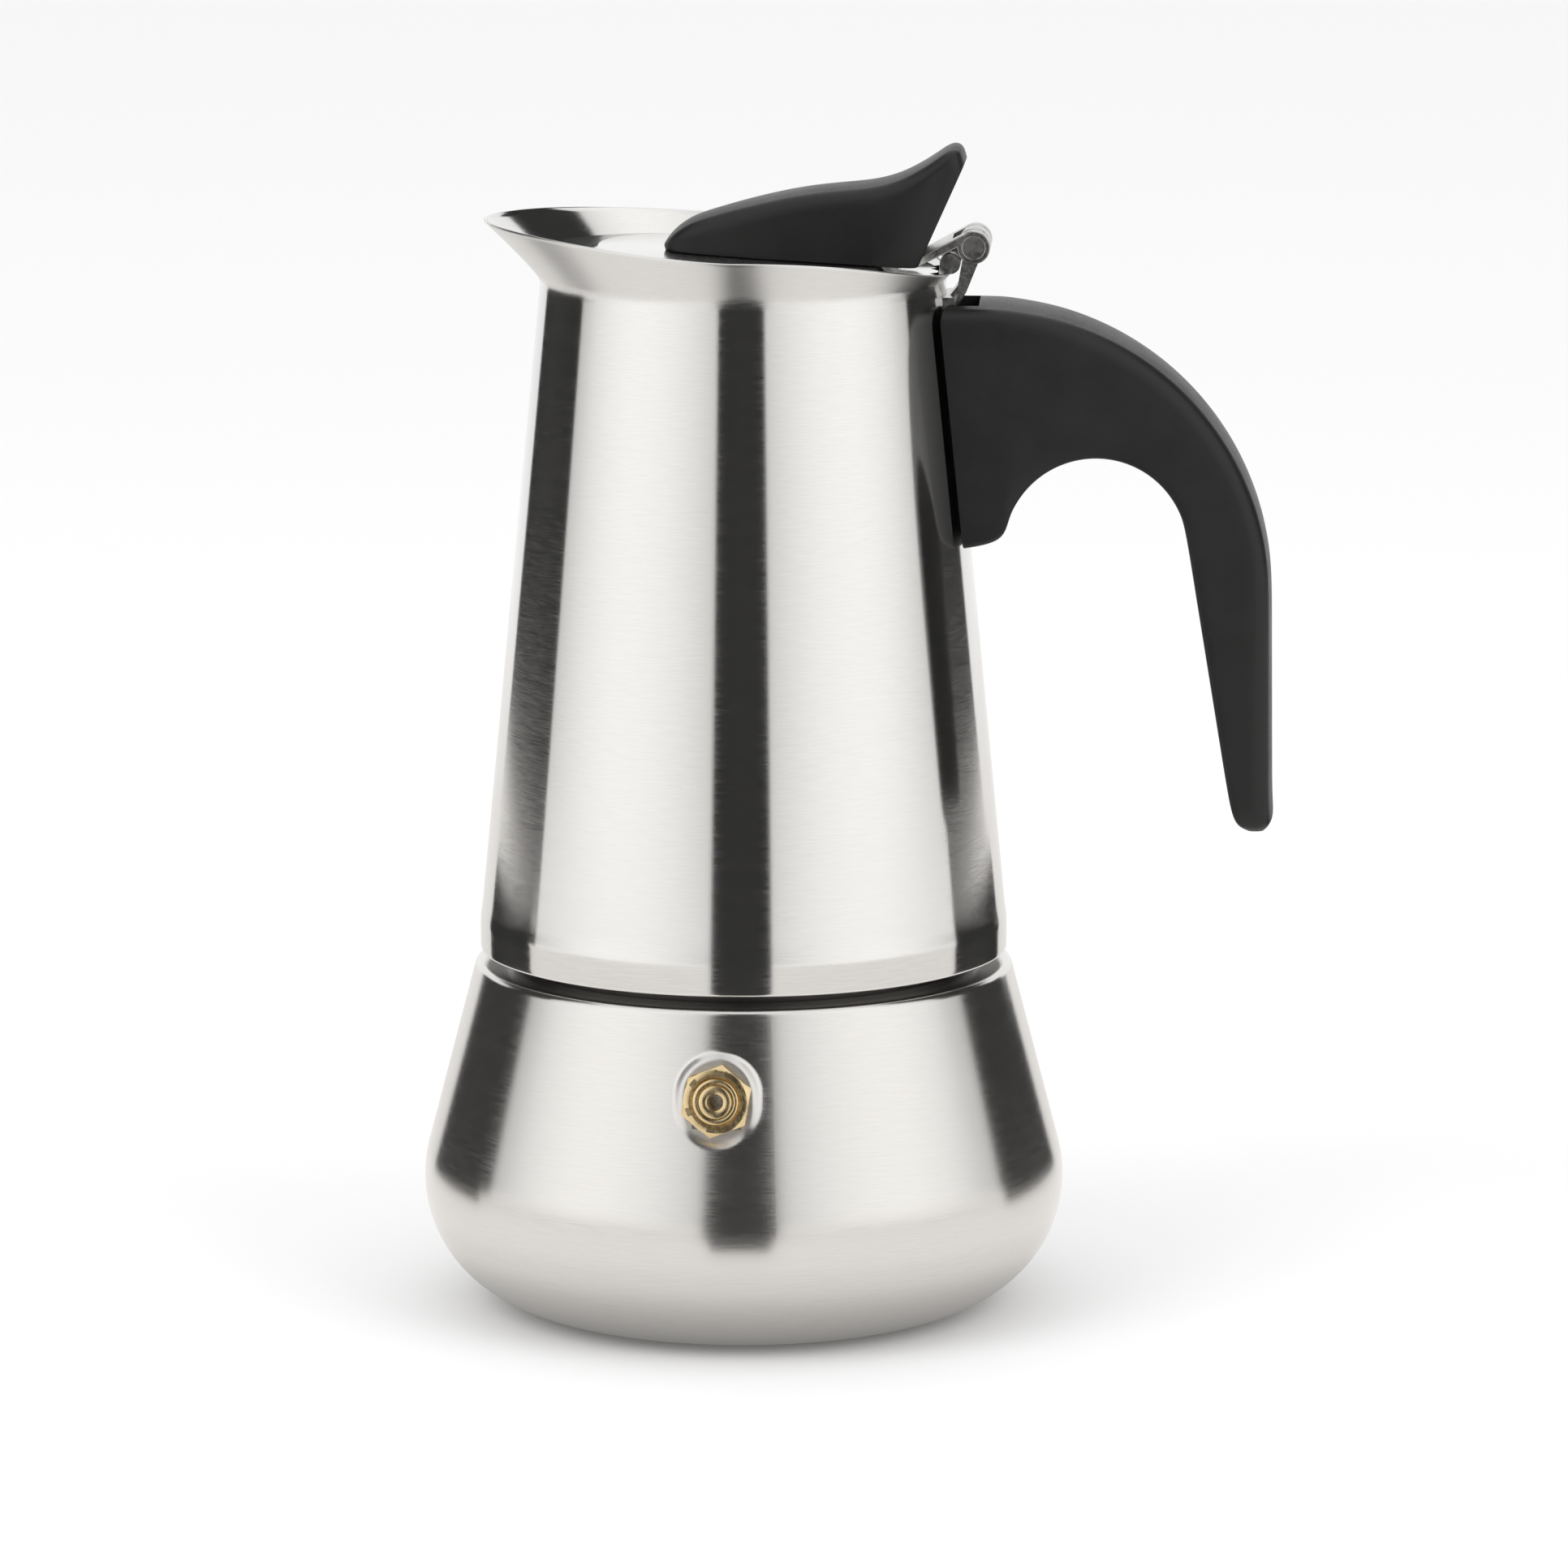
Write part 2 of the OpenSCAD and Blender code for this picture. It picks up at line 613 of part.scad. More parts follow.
module handle_bracket() {
    stalk_x = crease_r + back_flare + 1.1;
    color(steel) difference() {
        union() {
            across(ear_out) polygon([[cone_r(strap_low) - 2, strap_low],
                [cone_r(strap_low) + strap_t, strap_low],
                [crease_r + strap_t + 0.15, crease_z - 2.2], [crease_r - 2, crease_z - 2.2]]);
            across(stalk_half_w) union() {
                translate([hinge_x, hinge_z]) circle(r = knuckle_r);
                polygon([[crease_r - 1, crease_z - 5.2], [crease_r + strap_t, crease_z - 5.2],
                    [stalk_x + 1.4, crease_z - 1.6], [hinge_x + 0.8, hinge_z - knuckle_r + 0.2],
                    [hinge_x - 1.8, hinge_z - 1.7], [stalk_x, crease_z - 0.6],
                    [crease_r + 0.3, crease_z - 2.8], [crease_r - 1, crease_z - 2.8]]);
            }
            translate([cone_r(screw_z), 0, screw_z]) rotate([0, 90, 0])
                cylinder(r = boss_r, h = strap_t + boss_len);
        }
        collector_core(0);
        translate([hinge_x, ear_out, hinge_z]) rotate([90, 0, 0])
            cylinder(r = pin_r + pin_gap, h = hinge_w);
        translate([cone_r(screw_z) + 0.6, 0, screw_z]) rotate([0, 90, 0])
            cylinder(r = handle_screw_r, h = 20);
    }
}

module handle_screw() {
    color(steel) translate([0, 0, screw_z]) rotate([0, 90, 0]) {
        translate([0, 0, cone_r(screw_z) + 1]) cylinder(r = handle_screw_r,
            h = head_seat - cone_r(screw_z) - 1 + eps);
        translate([0, 0, head_seat]) difference() {
            cylinder(r1 = 2 * handle_screw_r, r2 = 2 * handle_screw_r - 0.5, h = 1.6);
            translate([-0.4, -3.5, 0.8]) cube([0.8, 7, 2]);
            translate([-3.5, -0.4, 0.8]) cube([7, 0.8, 2]);
        }
    }
}

// ---- lid ----

module hinge_pin() {
    color(steel) translate([hinge_x, ear_out, hinge_z]) rotate([90, 0, 0])
        cylinder(r = pin_r, h = hinge_w);
}

// The lid's own plane: origin on the pot's axis at the edge's top face
module on_lid() {
    translate([0, 0, lid_z]) rotate([0, lid_tilt, 0]) children();
}
function lid_up(x) = lid_z - x * tan(lid_tilt);

module lid_disc() {
    t = lid_wall;
    color(steel) union() {
        on_lid() difference() {
            rotate_extrude() polygon([[0, plateau_h], [plateau_r, plateau_h],
                [plateau_r + 1.6, 0], [lid_r - 0.4, 0], [lid_r, -0.4], [lid_r, -1.6],
                [lid_r - t, -1.6], [lid_r - t, -t], [plateau_r + 1.3, -t],
                [plateau_r - 0.3, plateau_h - t], [0, plateau_h - t]]);
            for (x = knob_screw_x)
                translate([x, 0, -3]) cylinder(r = knob_screw_r + 0.1, h = 8);
        }
        // Two curled ears that come down on the back of the rim
        beside(ear_in, ear_out) union() {
            translate(curl_c) circle(r = curl_r);
            polygon([[lid_r - 4, lid_up(lid_r - 4) - 0.5], [lid_r - 0.9, lid_up(lid_r) - 0.45],
                curl_c - [0.6, curl_r - 0.1], curl_c, curl_c - [curl_r, 0.6],
                [lid_r - 4, lid_up(lid_r - 4) - 0.05]]);
        }
    }
}

function in_lid(x, h) = [x * cos(lid_tilt) + h * sin(lid_tilt),
    lid_z - x * sin(lid_tilt) + h * cos(lid_tilt)];
leaf_foot_x = 6;
leaf_bend_x = plateau_r + 4.3;
module leaf_side() {
    polygon([in_lid(leaf_foot_x, plateau_h), in_lid(leaf_bend_x, plateau_h),
        [hinge_x - 2.4, hinge_z + 0.15], [hinge_x - 1.4, hinge_z + 2.2],
        in_lid(leaf_bend_x - 1, plateau_h + leaf_t), in_lid(leaf_foot_x, plateau_h + leaf_t)]);
    translate([hinge_x, hinge_z]) circle(r = knuckle_r);
}

module lid_hinge_leaf() {
    color(steel) difference() {
        across(ear_out) leaf_side();
        across(ear_in) translate([hinge_x - knuckle_r - 0.8, hinge_z - 9]) square([9, 18]);
        translate([hinge_x, ear_out + 1, hinge_z]) rotate([90, 0, 0])
            cylinder(r = pin_r, h = hinge_w + 2);
        on_lid() translate([knob_screw_x[1], 0, -3]) cylinder(r = knob_screw_r + 0.1, h = 8);
    }
}

// Top point, bottom point and half width of each knob section, in the lid's plane
knob_front = -12.6;
knob_back = plateau_r + 4.7;
tip = [knob_back + 5.6, knob_h];
knob_stations = let (b = plateau_h, crown = plateau_h + 12.9) [
    [[knob_front, b + 0.9], [knob_front + 0.3, b], 3.2],
    [[knob_front + 0.9, b + 2.4], [knob_front + 0.9, b], 5],
    [[knob_front + 3.6, b + 5], [knob_front + 3.2, b], 6.8],
    [[-4, b + 7], [-5, b], 7.9],
    [[2.5, b + 9.2], [2, b], knob_half_w],
    [[9.5, b + 11.1], [9, b], knob_half_w],
    [[15.5, b + 12.1], [14.5, b], knob_half_w],
    [[tip[0] - 13.3, crown], [knob_back - 9.2, b], knob_half_w],
    [[tip[0] - 9.4, mix(crown, knob_h, 0.2)], [knob_back - 6, b], knob_half_w - 0.1],
    [[tip[0] - 6.2, mix(crown, knob_h, 0.48)], [knob_back - 4, b], knob_half_w - 0.3],
    [[tip[0] - 3.6, mix(crown, knob_h, 0.76)], [knob_back - 2.2, b], knob_half_w - 0.6],
    [[tip[0] - 1.5, knob_h], [knob_back - 0.9, b], knob_half_w - 1],
    [[tip[0] + 0.2, knob_h - 0.3], [knob_back - 0.3, b + 0.1], knob_half_w - 1.2],
    [[tip[0] + 0.9, knob_h - 2.2], [knob_back, b + 0.3], knob_half_w - 1.6]];

module lid_knob() {
    w = hinge_w / 2 + 0.2;
    color(black) difference() {
        on_lid() loft([for (s = knob_stations) section(s[0], s[1], s[2], 3, 0.6, 0.4)]);
        on_lid() translate([leaf_foot_x - 0.2, -w, plateau_h - 1])
            cube([60, 2 * w, 1 + leaf_t + 0.05]);
        across(w - 0.05) polygon([in_lid(leaf_bend_x - 2.2, plateau_h + leaf_t - 0.2),
            [hinge_x + 3, lid_z - 1.2], [hinge_x + 3, hinge_z + 2.5],
            [hinge_x - 1.4, hinge_z + 2.5], in_lid(leaf_bend_x - 2.2, plateau_h + leaf_t + 0.25)]);
        on_lid() translate([knob_screw_x[0], 0, -3]) cylinder(r = knob_screw_r, h = 9 + plateau_h);
        on_lid() translate([knob_screw_x[1], 0, -3]) cylinder(r = knob_screw_r, h = 9 + plateau_h);
    }
}

module knob_screws() {
    color(steel) on_lid() for (x = knob_screw_x) translate([x, 0, 0]) {
        translate([0, 0, plateau_h - lid_wall - eps])
            cylinder(r = knob_screw_r, h = lid_wall + 5.5);
        translate([0, 0, plateau_h - lid_wall - 1.4]) difference() {
            cylinder(r1 = 2.2, r2 = 2.8, h = 1.4);
            translate([-0.35, -2, -1]) cube([0.7, 4, 1.6]);
            translate([-2, -0.35, -1]) cube([4, 0.7, 1.6]);
        }
    }
}

boiler_shell();
boiler_neck_ring();
valve_body();
valve_washer();
valve_nut();
valve_seat();
valve_spring();
valve_plunger();
funnel_cup();
funnel_screen();
funnel_stem();
gasket();
filter_plate();
collector_shell();
collector_base();
column_tube();
column_cap();
handle_bracket();
handle();
handle_screw();
hinge_pin();
lid_disc();
lid_hinge_leaf();
lid_knob();
knob_screws();
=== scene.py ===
"""Stovetop moka pot: the looks. Sizes are in millimetres and become metres in piece()."""

import math

import bmesh
import bpy
from mathutils import Matrix, Vector


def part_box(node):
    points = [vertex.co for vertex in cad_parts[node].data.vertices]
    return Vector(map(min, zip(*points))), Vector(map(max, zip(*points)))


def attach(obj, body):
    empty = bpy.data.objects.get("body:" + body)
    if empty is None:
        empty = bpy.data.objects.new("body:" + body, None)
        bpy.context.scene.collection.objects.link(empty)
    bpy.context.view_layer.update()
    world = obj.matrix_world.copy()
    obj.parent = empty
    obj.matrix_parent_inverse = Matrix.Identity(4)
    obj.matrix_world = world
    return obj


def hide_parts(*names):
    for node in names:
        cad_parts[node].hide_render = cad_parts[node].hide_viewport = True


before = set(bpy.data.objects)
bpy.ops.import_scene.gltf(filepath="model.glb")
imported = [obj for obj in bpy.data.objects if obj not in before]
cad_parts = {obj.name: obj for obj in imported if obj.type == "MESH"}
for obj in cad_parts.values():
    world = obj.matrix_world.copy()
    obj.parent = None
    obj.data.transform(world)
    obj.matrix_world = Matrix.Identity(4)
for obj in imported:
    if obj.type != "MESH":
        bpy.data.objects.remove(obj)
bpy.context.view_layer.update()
MM = 0.001


def corner(node, end):
    """A corner of a CAD node's box in millimetres, 0 for the low one and 1 for the high one."""
    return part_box(node)[end] / MM


# ---- sizes ----

BELLY_R = corner("boiler_shell", 1).x
BELLY_ROUND = 20.8
BOILER_H = corner("boiler_shell", 1).z
BOILER_WALL = 0.9
SHOULDER_ROUND = 1.3
NECK_R = 36.62
FOOT_R = BELLY_R - BELLY_ROUND
BAND_R = corner("collector_shell", 1).x
SHOULDER_R = BAND_R + 0.65

SEAM_Z = corner("collector_shell", 0).z
BAND_TOP = SEAM_Z + 4.8
CREASE_R = 32.45
CREASE_Z = SEAM_Z + 108.8
SHELL_WALL = 0.8
CONE_Z0 = BAND_TOP + 3.6
CONE_R0 = BAND_R - 0.44
CONE_SLOPE = (CONE_R0 - CREASE_R) / (CREASE_Z - CONE_Z0)
BASE_IN_Z = corner("collector_base", 1).z

COLLAR_WALL = 0.6
SIDE_FLARE, BACK_FLARE, SPOUT_REACH, SPOUT_WIDTH = 1.8, 0.9, 9.1, 39
SIDE_H, BACK_H, SPOUT_H = 6.1, 1.1, 9.2

LID_TILT = math.radians(3.3)
LID_Z = CREASE_Z + 3
LID_R = CREASE_R - COLLAR_WALL - 0.3
LID_WALL = 0.7
PLATEAU_R, PLATEAU_H = 23.5, 1.1

HINGE_W = corner("hinge_pin", 1).y - corner("hinge_pin", 0).y

GRIP_X = corner("handle", 1).x - 0.6
HANDLE_TOP = corner("handle", 1).z
HANDLE_END = corner("handle", 0).z
GRIP_ROUND = 46.4
ARCH_R = 14.6
HANDLE_HALF_W, GRIP_HALF_W = 11, 10
SADDLE_GAP = 0.8

VALVE_TURN, VALVE_TILT = math.radians(-91.9), math.radians(8)
VALVE_Z = BOILER_H - 13.7
VALVE_PROUD = 0.35
PAD_R, PAD_UP, PAD_EDGE = 5.5, 0.8, 1.5
VALVE_FLATS, VALVE_HEAD_H = 10.2, 2.2


# ---- small maths ----


def mix(a, b, t):
    return a + (b - a) * t


def clamp(t, low=0.0, high=1.0):
    return max(low, min(high, t))


def smooth(t):
    t = clamp(t)
    return t * t * (3 - 2 * t)


def arc(cx, cz, r, a0, a1, n):
    """Points on an arc, angles in degrees, both ends included."""
    turns = [math.radians(mix(a0, a1, i / n)) for i in range(n + 1)]
    return [(cx + r * math.cos(t), cz + r * math.sin(t)) for t in turns]


def line(p, q, n):
    """n points from just after p up to q."""
    return [tuple(mix(a, b, (i + 1) / n) for a, b in zip(p, q)) for i in range(n)]


def spline(points, steps):
    """Catmull-Rom curve through points of any number of coordinates."""
    ends = [[2 * a - b for a, b in zip(points[0], points[1])],
            [2 * a - b for a, b in zip(points[-1], points[-2])]]
    p = [ends[0], *points, ends[1]]
    out = []
    for i in range(1, len(p) - 2):
        for k in range(steps):
            t = k / steps
            out.append(tuple(
                0.5 * (2 * b + (c - a) * t + (2 * a - 5 * b + 4 * c - d) * t * t
                       + (3 * b - a - 3 * c + d) * t ** 3)
                for a, b, c, d in zip(p[i - 1], p[i], p[i + 1], p[i + 2])))
    out.append(tuple(points[-1]))
    return out


# ---- pieces ----


def piece(name, verts, faces, material, body, replaces=(), place=None, sharp=35):
    """A mesh from points in millimetres, smooth except where it turns more than sharp degrees."""
    mesh = bpy.data.meshes.new(name)
    place = place or Matrix.Identity(4)
    mesh.from_pydata([place @ Vector(v) * MM for v in verts], [], faces)
    bm = bmesh.new()
    bm.from_mesh(mesh)
    bmesh.ops.remove_doubles(bm, verts=bm.verts, dist=0.002 * MM)
    bmesh.ops.dissolve_degenerate(bm, edges=bm.edges, dist=0.001 * MM)
    bmesh.ops.recalc_face_normals(bm, faces=bm.faces)
    bm.to_mesh(mesh)
    bm.free()
    mesh.shade_smooth()
    mesh.set_sharp_from_angle(angle=math.radians(sharp))
    obj = bpy.data.objects.new(name, mesh)
    bpy.context.scene.collection.objects.link(obj)
    obj.data.materials.append(material)
    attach(obj, body)
    if replaces:
        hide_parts(*replaces)
    return obj


def rings_mesh(rings, closed_row=False):
    """Points and faces of a surface through rings of the same number of points. closed_row joins the last ring to the
    first; otherwise both end rings get a flat face."""
    m, n = len(rings[0]), len(rings)
    faces = []
    for i in range(n if closed_row else n - 1):
        a, b = i * m, (i + 1) % n * m
        faces += [(a + j, a + (j + 1) % m, b + (j + 1) % m, b + j) for j in range(m)]
    if not closed_row:
        faces += [tuple(range(m))[::-1], tuple((n - 1) * m + j for j in range(m))]
    return [p for ring in rings for p in ring], faces


def lathe(profile, angles):
    """profile(a) gives one closed outline of (r, z) points, or one from axis to axis, at angle a in radians."""
    rings = [[(r * math.cos(a), r * math.sin(a), z) for r, z in profile(a)] for a in angles]
    m, n = len(rings[0]), len(rings)
    on_axis = abs(profile(0)[0][0]) < 1e-6 and abs(profile(0)[-1][0]) < 1e-6
    faces = []
    for i in range(n):
        a, b = i * m, (i + 1) % n * m
        for j in range(m - 1 if on_axis else m):
            faces.append((a + j, b + j, b + (j + 1) % m, a + (j + 1) % m))
    return [p for ring in rings for p in ring], faces


def full_turn(n):
    return [2 * math.pi * i / n for i in range(n)]


def cut(obj, cutters):
    """Cuts closed shapes, each (verts, faces) in millimetres, out of a piece for good."""
    for verts, faces in cutters:
        mesh = bpy.data.meshes.new("cutter")
        mesh.from_pydata([Vector(v) * MM for v in verts], [], faces)
        bm = bmesh.new()
        bm.from_mesh(mesh)
        bmesh.ops.recalc_face_normals(bm, faces=bm.faces)
        bm.to_mesh(mesh)
        bm.free()
        tool = bpy.data.objects.new("cutter", mesh)
        bpy.context.scene.collection.objects.link(tool)
        change = obj.modifiers.new("cut", "BOOLEAN")
        change.object, change.solver = tool, "EXACT"
        bpy.context.view_layer.update()
        shape = bpy.data.meshes.new_from_object(
            obj.evaluated_get(bpy.context.evaluated_depsgraph_get()))
        obj.modifiers.clear()
        obj.data = shape
        bpy.data.objects.remove(tool)


def block(x0, x1, half_w, z0, z1):
    verts = [(x, y, z) for x in (x0, x1) for y in (-half_w, half_w) for z in (z0, z1)]
    return verts, [(0, 1, 3, 2), (4, 6, 7, 5), (0, 4, 5, 1), (2, 3, 7, 6), (0, 2, 6, 4), (1, 5, 7, 3)]


def rod(start, end, r, n=48):
    """A round bar between two points."""
    axis = (Vector(end) - Vector(start)).normalized()
    u = axis.orthogonal().normalized()
    w = axis.cross(u)
    ring = [u * r * math.cos(a) + w * r * math.sin(a) for a in full_turn(n)]
    return rings_mesh([[Vector(start) + p for p in ring], [Vector(end) + p for p in ring]])


def finish_cad(node, material, softening=0.12, sharp=32):
    """A CAD node whose shape is right: softened edges and its own material."""
    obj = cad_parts[node]
    obj.data.materials.clear()
    obj.data.materials.append(material)
    weld = obj.modifiers.new("weld", "WELD")
    weld.merge_threshold = 0.003 * MM
    edge = obj.modifiers.new("edge", "BEVEL")
    edge.width, edge.segments, edge.limit_method = softening * MM, 2, "ANGLE"
    edge.angle_limit = math.radians(sharp)
    edge.use_clamp_overlap = True
    edge.harden_normals = True


# ---- where the valve sits ----

TO_SHOULDER = Vector((SHOULDER_R - FOOT_R, BOILER_H - BELLY_ROUND))
LEAN = math.degrees(math.atan2(TO_SHOULDER.y, TO_SHOULDER.x)
                    - math.acos(BELLY_ROUND / TO_SHOULDER.length))


def wall_r(z):
    return SHOULDER_R + (BOILER_H - z) * math.tan(math.radians(LEAN))


AT_VALVE = (Matrix.Rotation(VALVE_TURN, 4, "Z") @ Matrix.Translation((wall_r(VALVE_Z), 0, VALVE_Z))
            @ Matrix.Rotation(math.pi / 2 - VALVE_TILT, 4, "Y") @ Matrix.Translation((0, 0, VALVE_PROUD)))


# ---- materials ----


class Nodes:
    """A material's node tree with short ways to add and join nodes."""

    def __init__(self, name):
        self.material = bpy.data.materials.new(name)
        self.material.use_nodes = True
        self.tree = self.material.node_tree
        self.shader = self.tree.nodes["Principled BSDF"]

    def add(self, kind, settings=None, **inputs):
        node = self.tree.nodes.new(kind)
        for key, value in (settings or {}).items():
            setattr(node, key, value)
        for key, value in inputs.items():
            self.join(value, node.inputs[key.replace("_", " ")])
        return node

    def join(self, value, socket):
        if isinstance(value, bpy.types.NodeSocket):
            self.tree.links.new(value, socket)
        else:
            socket.default_value = value

    def noise(self, where, scale, detail=4.0, rough=0.5, stretch=(1, 1, 1)):
        mapped = self.add("ShaderNodeMapping", Vector=where, Scale=stretch)
        return self.add("ShaderNodeTexNoise", Vector=mapped.outputs["Vector"], Scale=scale, Detail=detail,
                        Roughness=rough).outputs["Fac"]

    def span(self, value, low, high, to_low, to_high):
        node = self.add("ShaderNodeMapRange")
        for key, v in zip(("Value", "From Min", "From Max", "To Min", "To Max"), (value, low, high, to_low, to_high)):
            self.join(v, node.inputs[key])
        return node.outputs["Result"]

    def maths(self, operation, *values, use_clamp=False):
        node = self.add("ShaderNodeMath", {"operation": operation, "use_clamp": use_clamp})
        for value, socket in zip(values, node.inputs):
            self.join(value, socket)
        return node.outputs[0]

    def two_tone(self, factor, dark_tint, light_tint):
        node = self.add("ShaderNodeMix", {"data_type": "RGBA"})
        self.join(factor, node.inputs["Factor"])
        self.join((*dark_tint, 1), node.inputs[6])
        self.join((*light_tint, 1), node.inputs[7])
        return node.outputs[2]

    def set(self, **values):
        for key, value in values.items():
            self.join(value, self.shader.inputs[key.replace("_", " ")])


def around_lines(n, where):
    """Noise coordinates for fine lines round the pot's axis: radius and height, and a little of the turn."""
    x, y, z = n.add("ShaderNodeSeparateXYZ", Vector=where).outputs
    radius = n.maths("SQRT", n.maths("ADD", n.maths("MULTIPLY", x, x), n.maths("MULTIPLY", y, y)))
    slow_turn = n.maths("MULTIPLY", n.maths("ARCTAN2", y, x), 0.0012)
    return n.add("ShaderNodeCombineXYZ", X=radius, Y=slow_turn, Z=z).outputs[0]


def steel(name, tint, rough, spread, lines=1.0, worn=0.0, matter=None):
    """Steel brushed round the axis. spread is how far the lines stretch reflections. matter(n, where, rough) gives
    the roughness at a place."""
    n = Nodes(name)
    where = n.add("ShaderNodeTexCoord").outputs["Object"]
    flow = around_lines(n, where)
    fine = n.noise(flow, 9000, 2.0, 0.6)
    broad = n.noise(flow, 700, 3.0, 0.5)
    cloud = n.noise(where, 28, 3.0, 0.55)
    grain = n.span(fine, 0.3, 0.7, -0.035 * lines, 0.035 * lines)
    band = n.span(broad, 0.3, 0.7, -0.008 * lines, 0.008 * lines)
    haze = n.span(cloud, 0.35, 0.7, 0.0, 0.012 + worn)
    level = n.maths("ADD", n.maths("ADD", n.maths("ADD", grain, band), haze),
                    matter(n, where, rough) if matter else rough, use_clamp=True)
    shade = n.two_tone(n.span(fine, 0.35, 0.65, 0, 1), [c * (1 - 0.05 * lines) for c in tint], tint)
    bump = n.add("ShaderNodeBump", Height=fine, Strength=0.06 * lines, Distance=0.00004)
    tangent = n.add("ShaderNodeTangent", {"direction_type": "RADIAL", "axis": "Z"})
    n.set(Base_Color=shade, Roughness=level, Metallic=1.0, Anisotropic=spread,
          Anisotropic_Rotation=0.25, Normal=bump.outputs["Normal"], Tangent=tangent.outputs["Tangent"])
    return n.material


def small_metal(name, tint, rough, scratched=0.12):
    """Turned or stamped small parts: an even satin with fine scratches."""
    n = Nodes(name)
    where = n.add("ShaderNodeTexCoord").outputs["Object"]
    grain = n.noise(where, 1500, 3.0, 0.6)
    cloud = n.noise(where, 240, 2.0)
    level = n.maths("ADD", n.span(grain, 0.3, 0.7, rough - 0.05, rough + 0.06), n.span(cloud, 0.35, 0.7, 0.0, 0.06))
    shade = n.two_tone(n.span(cloud, 0.35, 0.65, 0, 1), [c * 0.9 for c in tint], tint)
    bump = n.add("ShaderNodeBump", Height=grain, Strength=scratched, Distance=0.00003)
    n.set(Base_Color=shade, Roughness=level, Metallic=1.0, Normal=bump.outputs["Normal"])
    return n.material


def plastic(name, colour, rough):
    """Moulded heat-proof plastic with a fine grained skin."""
    n = Nodes(name)
    where = n.add("ShaderNodeTexCoord").outputs["Object"]
    skin = n.noise(where, 2600, 2.0, 0.5)
    rub = n.noise(where, 90, 4.0, 0.6)
    level = n.maths("ADD", n.span(skin, 0.3, 0.7, rough - 0.04, rough + 0.04), n.span(rub, 0.35, 0.7, -0.03, 0.05))
    shade = n.two_tone(n.span(rub, 0.35, 0.65, 0, 1), [c * 0.88 for c in colour], [c * 1.1 for c in colour])
    bump = n.add("ShaderNodeBump", Height=skin, Strength=0.12, Distance=0.00006)
    n.set(Base_Color=shade, Roughness=level, Normal=bump.outputs["Normal"])
    n.shader.inputs["Specular IOR Level"].default_value = 0.3
    return n.material


def rubber(name, colour):
    n = Nodes(name)
    where = n.add("ShaderNodeTexCoord").outputs["Object"]
    skin = n.noise(where, 1400, 3.0, 0.6)
    dull = n.noise(where, 60, 3.0, 0.5)
    shade = n.two_tone(n.span(dull, 0.35, 0.65, 0, 1), [c * 0.93 for c in colour], colour)
    bump = n.add("ShaderNodeBump", Height=skin, Strength=0.15, Distance=0.00005)
    n.set(Base_Color=shade, Roughness=n.span(skin, 0.3, 0.7, 0.5, 0.62), Normal=bump.outputs["Normal"])
    n.shader.inputs["Subsurface Weight"].default_value = 0.15
    n.shader.inputs["Subsurface Radius"].default_value = (0.002, 0.002, 0.002)
    return n.material


def spun(n, where, rough):
    """The flared collar is spun steel, rougher than the cone below it."""
    height = n.add("ShaderNodeSeparateXYZ", Vector=where).outputs["Z"]
    return n.span(height, (CREASE_Z - 1.5) * MM, (CREASE_Z + 1.2) * MM, rough, 0.36)


def pressed(n, where, rough):
    """The sheet is matter round the pressed valve seat."""
    away = n.add("ShaderNodeVectorMath", {"operation": "DISTANCE"})
    n.join(where, away.inputs[0])
    away.inputs[1].default_value = AT_VALVE.translation * MM
    return n.span(away.outputs["Value"], 6.4 * MM, 8 * MM, 0.4, rough)


POLISHED = steel("polished_steel", (0.80, 0.795, 0.785), 0.13, 0.8)
COLLECTOR_STEEL = steel("collector_steel", (0.80, 0.79, 0.775), 0.13, 0.8, matter=spun)
BOILER_STEEL = steel("boiler_steel", (0.78, 0.765, 0.745), 0.2, 0.66, matter=pressed)
PLAIN = steel("plain_steel", (0.66, 0.66, 0.65), 0.3, 0.3, 0.7, 0.06)
THREADED = steel("threaded_steel", (0.22, 0.21, 0.20), 0.42, 0.3, 0.7, 0.06)
STAMPED = small_metal("stamped_steel", (0.55, 0.545, 0.53), 0.2)
SCREW = small_metal("screw_steel", (0.36, 0.355, 0.35), 0.26)
BRASS = small_metal("brass", (0.86, 0.67, 0.38), 0.2, 0.02)
# Near-black steel for the valve's spring and plunger: painted shade of the valve's bore, not the parts' own colour
BORE_SHADE_STEEL = small_metal("bore_shade_steel", (0.012, 0.012, 0.011), 0.45)
BLACK = plastic("black_plastic", (0.011, 0.011, 0.011), 0.4)
SILICONE = rubber("silicone", (0.86, 0.84, 0.80))


# ---- boiler ----

def boiler_profile(_):
    edge_z = BOILER_H - SHOULDER_ROUND
    edge_x = wall_r(edge_z) - SHOULDER_ROUND / math.cos(math.radians(LEAN))
    inner = BELLY_ROUND - BOILER_WALL
    ring = [(0, 0.45), (24, 0.45), (24.6, 0.3), (25.2, 0.05), (26, 0.0)]
    outside = arc(FOOT_R, BELLY_ROUND, BELLY_ROUND, -90, LEAN, 56)
    shoulder = arc(edge_x, edge_z, SHOULDER_ROUND, LEAN, 90, 10)
    wall = line(outside[-1], shoulder[0], 110)[:-1]
    mouth = [(NECK_R + 0.5, BOILER_H), (NECK_R, BOILER_H - 0.4), (NECK_R, BOILER_H - BOILER_WALL),
             (edge_x, BOILER_H - BOILER_WALL)]
    inside = arc(FOOT_R, BELLY_ROUND, inner, LEAN, -90, 30)
    inner_wall = line(mouth[-1], inside[0], 12)[:-1]
    return ring + outside + wall + shoulder + mouth + inner_wall + inside + [(0, BOILER_WALL)]


